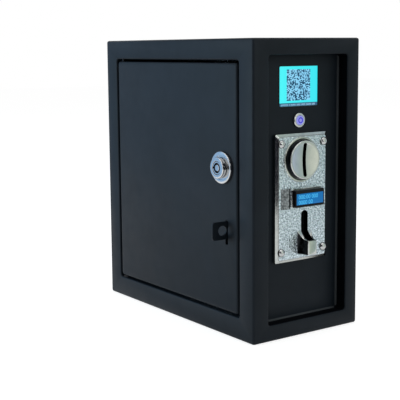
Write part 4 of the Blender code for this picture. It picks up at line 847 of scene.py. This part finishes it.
def push_button():
    mid, low, high = middle("button_bezel", 'Y')
    cap_low, cap_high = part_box("button_cap")
    radius = (high.x - low.x) / 2
    cap_r = (cap_high.x - cap_low.x) / 2
    bore = cap_r + RUN_CLEAR
    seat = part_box("control_panel")[0].y - RUN_CLEAR
    profile = [(high.y, bore), (high.y, BUTTON_BARREL_R), (seat, BUTTON_BARREL_R), (seat, radius)]
    profile += over(low.y, radius, BUTTON_CROWN, 1.5 * BUTTON_CROWN)
    profile += [(low.y, bore + RUN_CLEAR), (low.y + RUN_CLEAR, bore)]
    piece("button_ring", turned('Y', mid, profile, BUTTON_ROUND, ring=True), POLISHED, "button_bezel")
    face = cap_low.y
    cap = [(cap_high.y, cap_r), *over(face, cap_r, BUTTON_CROWN / 2)]
    cap += [(face + SKIN, cap_r / 2), (face + SKIN, cap_r / 40)]
    span = ("Z", cap_low.z, cap_high.z)
    lens = glowing("lit_lens", *span, evenly((0.27, 0.29, 0.74), (0.24, 0.25, 0.68)), 0.2)
    piece("button_lens", turned('Y', mid, cap, BUTTON_ROUND), lens, "button_cap", body="button")
    mark = glowing("button_mark", *span, evenly((0.04, 0.035, 0.60), (0.05, 0.04, 0.46)), 0.2)
    inner, outer = cap_r * MARK_INNER, cap_r * MARK_OUTER
    ring = [(face + SKIN, inner), (face - SKIN / 2, inner), (face - SKIN / 2, outer), (face + SKIN, outer)]
    piece("button_ring_mark", turned('Y', mid, ring, BUTTON_ROUND, ring=True), mark, body="button")


# Recess and display with its square code

def recess_box():
    """The recess's lowest and highest corners, inside the panel's hidden laps."""
    low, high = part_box("control_panel")
    lap = Vector((PANEL_LAP, 0.0, PANEL_LAP))
    return low + lap, high - lap


def recess_bends():
    """The rounded bends where the recess's walls meet the panel, in a lighter paint as a painted highlight
    for the line of light they catch.
    """
    low, high = recess_box()
    face = low.y
    bends = bmesh.new()
    arc = [(BEND_R * cos(a), face - BEND_R * (1 - sin(a))) for a in quarter(ARC_STEPS)]
    for side, wall in ((-1, low.x), (1, high.x)):
        inner, past = wall - side * BEND_R, wall + side * SKIN
        outline = [(inner, face + SKIN), (past, face + SKIN), (past, face - BEND_R)]
        outline += [(inner + side * out, y) for out, y in arc]
        loft('Z', [(low.z + BEND_R, outline), (high.z - BEND_R, outline)], bm=bends)
    inner, past = low.z + BEND_R, low.z - SKIN
    outline = [(face + SKIN, inner), (face + SKIN, past), (face - BEND_R, past)]
    outline += [(y, inner - out) for out, y in arc]
    loft('X', [(low.x + 2 * BEND_R, outline), (high.x - 2 * BEND_R, outline)], bm=bends)
    piece("recess_bends", bends, BEND_HIGHLIGHT)


def display():
    low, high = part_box("display_glass")
    mid = (low + high) / 2

    def lit(name, stops):
        return glowing(name, "X", low.x, high.x, stops)

    cyan = lit("cyan_display", ((0.0, (0.07, 0.87, 0.91)), (0.4, (0.05, 0.82, 0.88)),
                                (1.0, (0.04, 0.75, 0.83))))
    piece("display_window", box(low, high, RUN_CLEAR), cyan, "display_glass")
    edge = block_outline((mid.x, mid.z), high.x - low.x, high.z - low.z, GASKET_WIDE)
    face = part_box("control_panel")[0].y
    gasket = [(face + SKIN, GASKET_WIDE), (face - SKIN, GASKET_WIDE), (face - 2 * SKIN, GASKET_WIDE / 2),
              (face - SKIN, SKIN), (face + SKIN, SKIN)]
    piece("display_gasket", hoop(edge, gasket), GLOSS_BLACK)
    square_code(mid.x, low.y, mid.z + CODE_UP, lit)
    strip = box((low.x + RUN_CLEAR, low.y - SKIN / 2, low.z),
                (high.x - RUN_CLEAR, low.y + SKIN, low.z + STRIP_H), SKIN / 2)
    dusk = lit("strip_ground", evenly((0.016, 0.105, 0.180), (0.040, 0.110, 0.200)))
    piece("display_strip", strip, dusk)
    lilac = lit("strip_digits", evenly((0.30, 0.56, 0.80), (0.36, 0.60, 0.84)))
    digits("strip_row", STRIP_WORDS, (low.x + DIGIT_LEFT, low.y - SKIN, low.z + STRIP_H * STRIP_DIGIT_UP),
           STRIP_H * STRIP_DIGIT_H, lilac)


def square_code(x_mid, front, z_mid, lit):
    """A made-up pattern of square cells on a pale ground."""
    cell = CODE_SIDE / CODE_CELLS
    half = CODE_SIDE / 2
    pale = lit("code_ground", evenly((0.26, 0.66, 0.90), (0.22, 0.58, 0.86)))
    slate = lit("code_ink", evenly((0.012, 0.070, 0.140), (0.010, 0.056, 0.130)))
    ground = box((x_mid - half, front - SKIN / 2, z_mid - half),
                 (x_mid + half, front + SKIN, z_mid + half), SKIN / 2)
    piece("code_ground", ground, pale)
    cells = bmesh.new()
    draw = random.Random(CODE_SEED)
    for row in range(CODE_CELLS):
        z = z_mid + half - row * cell
        for column in range(CODE_CELLS):
            if draw.random() < CODE_FILL:
                x = x_mid - half + column * cell
                box((x, front - SKIN, z - cell), (x + cell, front, z), bm=cells)
    piece("code_cells", cells, slate)


# Rear fittings

def blocks(name, corners, look, ease=BLOCK_EASE):
    """A piece made of several eased blocks, each given by its low and high corners."""
    bm = bmesh.new()
    for low, high in corners:
        box(low, high, ease, bm)
    return piece(name, bm, look)


def screw_heads(name, places, seat, head, look):
    """Round heads on the door side of a plane across X, each with a driver slot."""
    radius, height = head
    bm = bmesh.new()
    for mid in places:
        dome_screw(bm, 'X', mid, seat, -1, radius, height, HEAD_ROUND)
    item = piece(name, bm, look)
    slots = bmesh.new()
    for y, z in places:
        half = radius / 6
        box((seat - 2 * height, y - radius, z - half), (seat - height / 2, y + radius, z + half), bm=slots)
    cut(item, slots)


def socket_contacts():
    """Spring leaves that come up the blade slots to just under the face."""
    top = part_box("socket_body")[1].y - LEAF_DOWN
    thin = LEAF_T / 2
    corners = []
    for side, contact in ((-1, "hot_contact_left"), (1, "hot_contact_right")):
        low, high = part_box(contact)
        inner, outer = sorted((low.x, high.x), key=abs)
        for start, end in ((inner, inner + side * thin), (outer - side * LEAF_T, outer)):
            corners.append(((min(start, end), low.y, low.z + thin), (max(start, end), top, high.z - thin)))
    low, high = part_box("neutral_contact")
    leg = low.x + LEAF_LEG
    bar = high.z - LEAF_BAR
    corners += [((low.x, low.y, bar), (high.x, top, high.z)),
                ((low.x, low.y, low.z), (low.x + thin, top, bar)),
                ((leg - thin, low.y, low.z), (leg, top, bar - LEAF_T)),
                ((low.x, low.y, low.z), (leg, top, low.z + thin))]
    blocks("socket_leaves", corners, BRASS)
    low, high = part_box("ground_contact")
    half = (high.x - low.x) / 2
    bend = Vector(((low.x + high.x) / 2, low.z + half))

    def ground(grow):
        arc = [pi * (1 + step / SMALL_ROUND) for step in range(SMALL_ROUND + 1)]
        return [bend + (half + grow) * Vector((cos(a), sin(a))) for a in arc]

    leaf = eased('Y', ground, low.y, top, LEAF_T / 3, both=False)
    piece("ground_leaf", leaf, YELLOW_BRASS)
    mid, low, high = middle("socket_screw", 'Y')
    hole = (high.x - low.x) / 2
    head = hole / 2
    screw = [(low.y, hole), (high.y, hole), (high.y, head), (high.y + head, head),
             (high.y + 1.3 * head, 0.8 * head), (high.y + 1.4 * head, head / 20)]
    item = piece("socket_centre_screw", turned('Y', mid, screw, SMALL_ROUND), BLACK_PLASTIC_AND_SHADE,
                 "socket_screw")
    second_look(item, GREY_PLASTIC, lambda area: area.center.y > high.y + head / 2)
    mid, body_low, body_high = middle("socket_body", 'Y')
    face = body_high.y
    radius = (body_high.x - body_low.x) / 2 - SOCKET_FLANGE
    rim = [(face - SKIN, radius - LEAF_T), (face + SKIN, radius - LEAF_T), (face + 2 * SKIN, radius - thin),
           (face + SKIN, radius - SKIN), (face - SKIN, radius - SKIN)]
    piece("socket_rim", turned('Y', mid, rim, ring=True), GREY_PLASTIC)


def jack_fittings():
    low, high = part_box("jack_insert")
    face, edge = high.y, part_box("jack_shell")[1].y
    mid = (low.x + high.x) / 2
    for name, side, tone in JACK_LEDS:
        glow = glowing(name, "Z", low.z, high.z, evenly(tone, [0.8 * part for part in tone]), 0.2)
        left, right = sorted((mid + side * LED_IN, mid + side * LED_OUT))
        lens_left, lens_right = sorted((mid + side * LED_IN, mid + side * (LED_OUT + MOUTH_WIDE)))
        foot, top = high.z - LED_H, high.z + MOUTH_WIDE / 2
        blocks(name, [((left, face - LED_H, foot), (right, edge, high.z - SKIN)),
                      ((lens_left, edge - SKIN, foot), (lens_right, edge + 3 * SKIN, top))], glow, SKIN)
    mouth = block_outline((mid, (low.z + high.z) / 2), high.x - low.x, high.z - low.z, MOUTH_WIDE)
    lip = [(edge - SKIN, MOUTH_WIDE), (edge + SKIN, MOUTH_WIDE), (edge + SKIN, SKIN), (edge - SKIN, SKIN)]
    piece("jack_mouth", hoop(mouth, lip), BLACK_PLASTIC_AND_SHADE)
    pins = []
    for way in range(PIN_COUNT):
        x = mid + (way - (PIN_COUNT - 1) / 2) * PIN_PITCH
        pins.append(((x - PIN_PITCH / 5, low.y + LED_H, low.z + PIN_UP),
                     (x + PIN_PITCH / 5, face - LED_H / 2, low.z + PIN_UP + PIN_PITCH / 3)))
    # Painted shade: the pins deep in the jack take darkened brass.
    blocks("jack_pins", pins, SHADED_BRASS, SKIN)
    clips = []
    for side in (-1, 1):
        left, right = sorted((mid + side * CLIP_IN, mid + side * (CLIP_IN + PIN_PITCH)))
        clips.append(((left, edge - SKIN, low.z + LED_H), (right, edge + 4 * SKIN, high.z - 2 * LED_H)))
    above = high.z + LED_H
    clips.append(((mid - LED_H, edge - SKIN, above), (mid + LED_H, edge + 3 * SKIN, above + PIN_PITCH)))
    blocks("jack_clips", clips, POLISHED)


def gland_grip():
    mid, low, high = middle("gland_cap", 'Y')
    radius = (high.x - low.x) / 2
    centre = Vector(mid)
    ribs = bmesh.new()
    for rib in range(GLAND_RIBS):
        angle = 2 * pi * rib / GLAND_RIBS
        out = Vector((cos(angle), sin(angle)))
        across = Vector((-out.y, out.x)) * radius * RIB_HALF
        foot, crest = centre + out * radius * RIB_FOOT, centre + out * radius * RIB_CREST
        outline = [foot + across, foot - across, crest - across / 2, crest + across / 2]
        loft('Y', [(low.y + SKIN, outline), (low.y + (high.y - low.y) / 3, outline)], bm=ribs)
    piece("gland_ribs", ribs, BLACK_PLASTIC_AND_SHADE)
    seal = [(high.y - deep, radius * SEAL_BORE * share) for deep, share in SEAL_PROFILE]
    piece("gland_seal", turned('Y', mid, seal, SMALL_ROUND, ring=True), BLACK_LEAD)


# Inside fittings

def corner_places(low, high, inset):
    """The (y, z) places of four corner screws."""
    return [(y, z) for y in (low.y + inset, high.y - inset) for z in (low.z + inset, high.z - inset)]


def controller_parts():
    (mid_y, mid_z), low, high = middle("controller_board", 'X')
    face = high.x - BOARD_OFF
    half = CHIP_HALF

    def standing(corners, tall):
        """The box of a part that stands on the board, from its (y, z) corners."""
        return (face - tall, *corners[0]), (face, *corners[1])

    chip = ((low.x - SKIN, mid_y - half, mid_z - half), (face, mid_y + half, mid_z + half))
    blocks("board_chip", [chip, standing(RELAY, RELAY_TALL)], BLACK_PLASTIC_AND_SHADE)
    legs = []
    for leg in range(LEG_COUNT):
        step = (leg - (LEG_COUNT - 1) / 2) * LEG_PITCH
        for side in (-1, 1):
            out = side * (half + LEG_OUT)
            for y, z, dy, dz in ((out, step, LEG_LONG, LEG_WIDE), (step, out, LEG_WIDE, LEG_LONG)):
                legs.append(((face - LEG_TALL, mid_y + y - dy, mid_z + z - dz),
                             (face + SKIN, mid_y + y + dy, mid_z + z + dz)))
    blocks("board_legs", legs, STEEL, SKIN)
    cans = bmesh.new()
    for y, z, radius, tall in CANS:
        top = face - tall
        ease = CAN_EASE
        can = [(face, radius), (top + 2 * ease, radius), (top, radius - 2 * ease), (top, radius - 3 * ease),
               (top + ease, radius - 3.5 * ease), (top + ease, radius / 40)]
        turned('X', (y, z), can, SMALL_ROUND, bm=cans)
    item = piece("board_cans", cans, BLACK_PLASTIC_AND_SHADE)
    second_look(item, STEEL, lambda area: area.normal.x < -0.9)
    headers = [standing(corners, HEADER_TALL) for corners in CABLE_HEADERS]
    headers.append(standing(POWER_HEADER, POWER_HEADER_TALL))
    blocks("board_headers", headers, WHITE_LEAD)
    chips = []
    for step in range(PASSIVE_COUNT):
        y, z = COLUMN_AT[0], COLUMN_AT[1] + step * COLUMN_PITCH
        chips.append(standing(((y, z), (y + PASSIVE_LONG, z + PASSIVE_WIDE)), PASSIVE_TALL))
        y, z = ROW_AT[0] + step * ROW_PITCH, ROW_AT[1]
        chips.append(standing(((y, z), (y + PASSIVE_WIDE, z + PASSIVE_LONG)), PASSIVE_TALL))
    blocks("board_passives", chips, GREY_PLASTIC, SKIN)
    screw_heads("board_screws", corner_places(low, high, SCREW_INSET), face, PAN_HEAD, STEEL)


def supply_parts():
    low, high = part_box("power_supply")
    case = piece("supply_case", box(low, high, SUPPLY_EASE), STEEL, "power_supply")
    openings = bmesh.new()
    out = low.x - CUT_PAST
    box((out, low.y - CUT_PAST, low.z + BAY_RIM), (low.x + BAY, low.y + BAY, high.z - BAY_RIM), bm=openings)
    for row in range(VENT_ROWS):
        z = low.z + VENT_FIRST[1] + row * VENT_PITCH[1]
        for column in range(VENT_COLUMNS):
            y = low.y + VENT_FIRST[0] + column * VENT_PITCH[0]
            box((out, y, z), (low.x + VENT_DEPTH, y + VENT_SIZE[0], z + VENT_SIZE[1]), bm=openings)
    cut(case, openings)
    # Painted shade: the vents' floors are black, for the dark inside.
    second_look(case, BLACK_PLASTIC_AND_SHADE, lambda area: abs(area.center.x - low.x - VENT_DEPTH) < SKIN)
    seat = low.x + WAY_SEAT
    places = [(low.y + WAY_FIRST[0], low.z + WAY_FIRST[1] + way * WAY_PITCH) for way in range(SUPPLY_WAYS)]
    near, far = low.y + BASE_Y[0], low.y + BASE_Y[1]
    walls = [((seat, near, low.z + BASE_RIM), (low.x + BASE_DEEP, far, high.z - BASE_RIM))]
    walls += [((low.x + WAY_WALL_X[0], near, z + WAY_WALL_Z[0]),
               (low.x + WAY_WALL_X[1], far, z + WAY_WALL_Z[1])) for _, z in places]
    blocks("supply_terminals", walls, BLACK_PLASTIC_AND_SHADE)
    screw_heads("supply_screws", places, seat, SUPPLY_HEAD, BRASS)


def contactor_parts():
    (mid_y, mid_z), low, high = middle("contactor", 'X')
    seat = low.x + CONTACTOR_STEP
    places = []
    walls = []
    for z_low, z_high in ((low.z, low.z + CONTACTOR_STEP), (high.z - CONTACTOR_STEP, high.z)):
        places += [(mid_y + y, (z_low + z_high) / 2) for y in CONTACTOR_WAYS]
        walls += [((low.x + CONTACTOR_WALL_IN, mid_y + y - CONTACTOR_WALL_HALF, z_low + SKIN),
                   (seat + SKIN, mid_y + y + CONTACTOR_WALL_HALF, z_high - SKIN)) for y in CONTACTOR_WALLS]
    screw_heads("contactor_screws", places, seat, CONTACTOR_HEAD, STEEL)
    blocks("contactor_walls", walls, PALE_PLASTIC)
    caps = [((low.x - rise, mid_y - half_y, mid_z - half_z), (low.x + into, mid_y + half_y, mid_z + half_z))
            for rise, into, half_y, half_z in CAP_BLOCKS]
    blocks("contactor_cap", caps, GREY_PLASTIC)


def terminal_parts():
    low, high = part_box("terminal_block")
    pitch = (high.y - low.y) / TERMINAL_WAYS
    ways = [low.y + (way + 0.5) * pitch for way in range(TERMINAL_WAYS)]
    places = [(y, low.z + TERMINAL_SCREW_UP) for y in ways]
    screw_heads("terminal_screws", places, low.x, TERMINAL_HEAD, BRASS)
    walls = [((low.x - TERMINAL_WALL_RISE, low.y + way * pitch - TERMINAL_WALL_HALF, low.z + SKIN),
              (low.x + SKIN, low.y + way * pitch + TERMINAL_WALL_HALF, high.z - SKIN))
             for way in range(1, TERMINAL_WAYS)]
    blocks("terminal_walls", walls, PALE_PLASTIC)
    clamps = [((low.x + CLAMP_X[0], y - CLAMP_HALF, high.z - CLAMP_DOWN[0]),
               (low.x + CLAMP_X[1], y + CLAMP_HALF, high.z - CLAMP_DOWN[1])) for y in ways]
    blocks("terminal_clamps", clamps, BRASS)


def behind(face, parts):
    """The boxes of parts that stand on the rear of a plane across Y."""
    return [((low[0], face - SKIN, low[1]), (high[0], face + tall, high[1])) for low, high, tall in parts]


def loose_fittings():
    low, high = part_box("acceptor_cover")
    screw_heads("acceptor_screws", corner_places(low, high, SCREW_INSET), low.x, PAN_HEAD, STEEL)
    ribs = []
    for rib in range(COVER_RIBS):
        y = low.y + COVER_RIB_FIRST + rib * COVER_RIB_PITCH
        ribs.append(((low.x - COVER_RIB_RISE, y, low.z + COVER_RIB_END),
                     (low.x + SKIN, y + COVER_RIB_T, high.z - COVER_RIB_END)))
    blocks("acceptor_ribs", ribs, BLACK_PLASTIC_AND_SHADE)
    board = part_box("display_board")[1].y
    headers = behind(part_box("acceptor_body")[1].y, COIN_HEADER) + behind(board, DISPLAY_HEADERS)
    blocks("cable_headers", headers, WHITE_LEAD)
    blocks("display_chips", behind(board, DISPLAY_CHIPS), BLACK_PLASTIC_AND_SHADE)
    (x_mid, z_mid), low, high = middle("button_switch", 'Y')
    lugs = [((x - LUG_HALF_X, z_mid - LUG_HALF_Z), (x + LUG_HALF_X, z_mid + LUG_HALF_Z), LUG_LONG)
            for x in (x_mid - LUG_OUT, x_mid + LUG_OUT)]
    blocks("switch_lugs", behind(high.y, lugs), BRASS, SKIN)
    low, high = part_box("mounting_tray")
    near, far, foot = low.y + TRAY_INSET, high.y - TRAY_INSET, low.z + TRAY_INSET
    places = [(near, foot), (far, foot), (near, high.z - TRAY_INSET)]
    screw_heads("tray_screws", places, low.x, TRAY_HEAD, STEEL)
    mid, low, high = middle("cash_box", 'Z')
    rim = rounded(mid, high.x - low.x - CASH_RIM_IN, high.y - low.y - CASH_RIM_IN, CASH_CORNER_R)
    wire = tube([(x, y, high.z) for x, y in rim], CASH_RIM_R, closed=True)
    piece("cash_box_rim", wire, STEEL)


# Wiring

def smooth_route(points, steps=14):
    """A smooth line through points."""
    points = [Vector(point) for point in points]
    padded = [2 * points[0] - points[1]] + points + [2 * points[-1] - points[-2]]
    path = []
    for before, start, end, after in zip(padded, padded[1:], padded[2:], padded[3:]):
        for step in range(steps):
            t = step / steps
            path.append(0.5 * (2 * start + (end - before) * t
                               + (2 * before - 5 * start + 4 * end - after) * t ** 2
                               + (3 * start - before - 3 * end + after) * t ** 3))
    return path + [points[-1]]


def tube(path, radius, closed=False, bm=None):
    bm = bm or bmesh.new()
    path = [Vector(point) for point in path]
    count = len(path)
    turns = [2 * pi * j / LEAD_ROUND for j in range(LEAD_ROUND)]
    side = None
    loops = []
    for i, at in enumerate(path):
        before = path[i - 1] if closed or i else at
        after = path[(i + 1) % count] if closed or i < count - 1 else at
        ahead = (after - before).normalized()
        side = (side or ahead.orthogonal()).normalized()
        side = (side - ahead * side.dot(ahead)).normalized()
        above = ahead.cross(side)
        loops.append([bm.verts.new(at + radius * (cos(a) * side + sin(a) * above)) for a in turns])
    return skin(bm, loops, closed)


def wiring():
    sleeves = bmesh.new()
    for name, slot, route in LEADS:
        piece("wire_" + name, tube(smooth_route(route), LEAD_R), SLOT_LOOKS[slot], name)
        for end, towards in ((route[0], route[1]), (route[-1], route[-2])):
            end, towards = Vector(end), Vector(towards)
            tube([end, end + (towards - end).normalized() * SLEEVE_L], SLEEVE_R, bm=sleeves)
    piece("lead_sleeves", sleeves, GREY_PLASTIC)


# CAD nodes that keep their own shape

# Painted shade: nodes that sit in the door gap and in the socket's slots take darker metal.
PAINTED_SHADE_NODES = {"hinge": SHADE_AND_REFLECTION_METAL, "hot_contact": SHADED_BRASS, "ground_contact": SHADED_BRASS,
              "neutral_contact": SHADED_BRASS}


def dress_nodes():
    slots = {part["node"]: part["material_slot"] for part in frame["record"]["subparts"]}
    for name, item in nodes.items():
        if item.hide_render:
            continue
        slot = slots.get(name, "black_paint")
        shade_looks = [look for start, look in PAINTED_SHADE_NODES.items() if name.startswith(start)]
        item.data.materials.clear()
        item.data.materials.append(shade_looks[0] if shade_looks else SLOT_LOOKS[slot])
        soften(item)


def shade_recess():
    """Gives the recess's walls, which lie in shade, a deeper black."""
    low, high = recess_box()

    def wall(area):
        at = area.center
        across = low.x - SKIN < at.x < high.x + SKIN and low.z - SKIN < at.z < high.z + SKIN
        return across and at.y < low.y and abs(area.normal.y) < 0.1

    second_look(nodes["cabinet_shell"], RECESS_SHADE, wall)


def soften(item):
    """Joins a node's loose facets for shading, so that its round faces read round."""
    if "custom_normal" in item.data.attributes:
        item.data.attributes.remove(item.data.attributes["custom_normal"])
    item.data.shade_smooth()
    item.modifiers.new("weld", 'WELD').merge_threshold = SKIN / 100
    item.modifiers.new("split", 'EDGE_SPLIT').split_angle = SMOOTH_ANGLE


# Studio

def aim(item, at, target):
    item.location = at
    item.rotation_euler = (Vector(target) - Vector(at)).to_track_quat('-Z', 'Y').to_euler()


def softbox(name, at, target, size, power, colour):
    lamp = bpy.data.lights.new(name, 'AREA')
    lamp.shape = 'SQUARE'
    lamp.size = size
    lamp.energy = power
    lamp.color = colour
    item = linked(name, lamp)
    aim(item, at, target)


def panel(name, half_width, half_height, z):
    """A flat stage piece with its node tree and main shader."""
    bm = bmesh.new()
    corners = ((-1, -1), (1, -1), (1, 1), (-1, 1))
    bm.faces.new([bm.verts.new((a * half_width, b * half_height, z)) for a, b in corners])
    item = linked(name, closed_mesh(name, bm))
    look, tree, shader = new_look(name)
    feed(tree, shader, {"Specular IOR Level": 0.0})
    item.data.materials.append(look)
    return item, tree, shader


def card(name, at, target, half_width, half_height, *colours):
    """A studio card that only shows in reflections; its colours run across its width."""
    item, tree, shader = panel(name, half_width, half_height, 0.0)
    colour = runs_along(tree, "X", -half_width, half_width, evenly(*colours))
    feed(tree, shader, {"Base Color": BLACK, "Emission Strength": 1.0, "Emission Color": colour})
    aim(item, at, target)
    item.visible_camera = False
    item.visible_diffuse = False
    item.visible_shadow = False
    item.visible_transmission = False


def seen_directly(tree, low, high):
    """high for what the camera sees itself, in metal or through glass, and low for the rest."""
    paths = node(tree, "LightPath").outputs
    seen = paths["Is Camera Ray"]
    for kind in ("Is Glossy Ray", "Is Transmission Ray"):
        seen = node(tree, "Math", {0: seen, 1: paths[kind]}, operation='MAXIMUM').outputs[0]
    return node(tree, "MapRange", {"Value": seen, "To Min": low, "To Max": high}).outputs["Result"]


def studio():
    scene = bpy.context.scene
    scene.view_settings.view_transform = 'Standard'
    world = bpy.data.worlds.new("studio")
    scene.world = world
    world.use_nodes = True
    back = world.node_tree.nodes["Background"]
    feed(world.node_tree, back, {"Color": WHITE, "Strength": seen_directly(world.node_tree, 0.48, 1.0)})

    _, tree, shader = panel("floor", FLOOR_HALF, FLOOR_HALF, -FLOOR_DROP)
    feed(tree, shader, {"Base Color": GREY, "Roughness": 0.9, "Emission Color": WHITE,
                        "Emission Strength": seen_directly(tree, 0.0, 0.75)})

    target = (0.0, 0.0, 0.16)
    softbox("door_softbox", (-1.6, 1.0, 0.45), target, 0.8, 20.0, (0.66, 0.86, 1.0))
    softbox("coin_softbox", (0.7, -1.7, 0.8), target, 1.2, 6.4, (0.94, 1.0, 1.02))
    softbox("top_softbox", (0.0, -0.1, 1.7), target, 1.5, 9.0, (1.0, 1.0, 1.0))
    card("camera_card", (-0.22, -0.56, 0.352), (-0.03, -0.13, 0.352), 0.30, 0.30, (0.02, 0.02, 0.03))
    card("door_card", (-0.55, 0.55, 0.30), target, 0.50, 0.6, (0.40, 0.66, 1.0))
    card("coin_card", (0.295, -0.477, 0.20), (0.0, -0.137, 0.20), 0.22, 0.45,
         (1.10, 1.14, 0.96), (0.90, 0.97, 0.82), (0.68, 0.76, 0.66), (0.56, 0.68, 0.62), (0.56, 0.68, 0.72),
         (0.64, 0.74, 0.88))
    card("screw_card", (-0.10, -0.51, 0.34), (0.0, -0.14, 0.19), 0.07, 0.07, (2.2, 2.2, 2.2))
    card("catch_card", (-0.80, -0.88, 0.10), target, 0.07, 0.05, (2.0, 2.0, 2.0))


def camera():
    lens = bpy.data.cameras.new("photo_camera")
    lens.lens = CAMERA_LENS
    lens.shift_y = CAMERA_SHIFT
    item = linked("photo_camera", lens)
    turn = Matrix.Rotation(-CAMERA_YAW, 4, 'Z') @ Matrix.Rotation(pi / 2 + CAMERA_PITCH, 4, 'X')
    item.matrix_world = Matrix.Translation(CAMERA_AT) @ turn @ Matrix.Rotation(CAMERA_ROLL, 4, 'Z')
    bpy.context.scene.camera = item


plate_casting()
coin_disc()
plate_screws()
coin_readout()
lock()
push_button()
recess_bends()
display()
socket_contacts()
jack_fittings()
gland_grip()
controller_parts()
supply_parts()
contactor_parts()
terminal_parts()
loose_fittings()
wiring()
dress_nodes()
shade_recess()
studio()
camera()
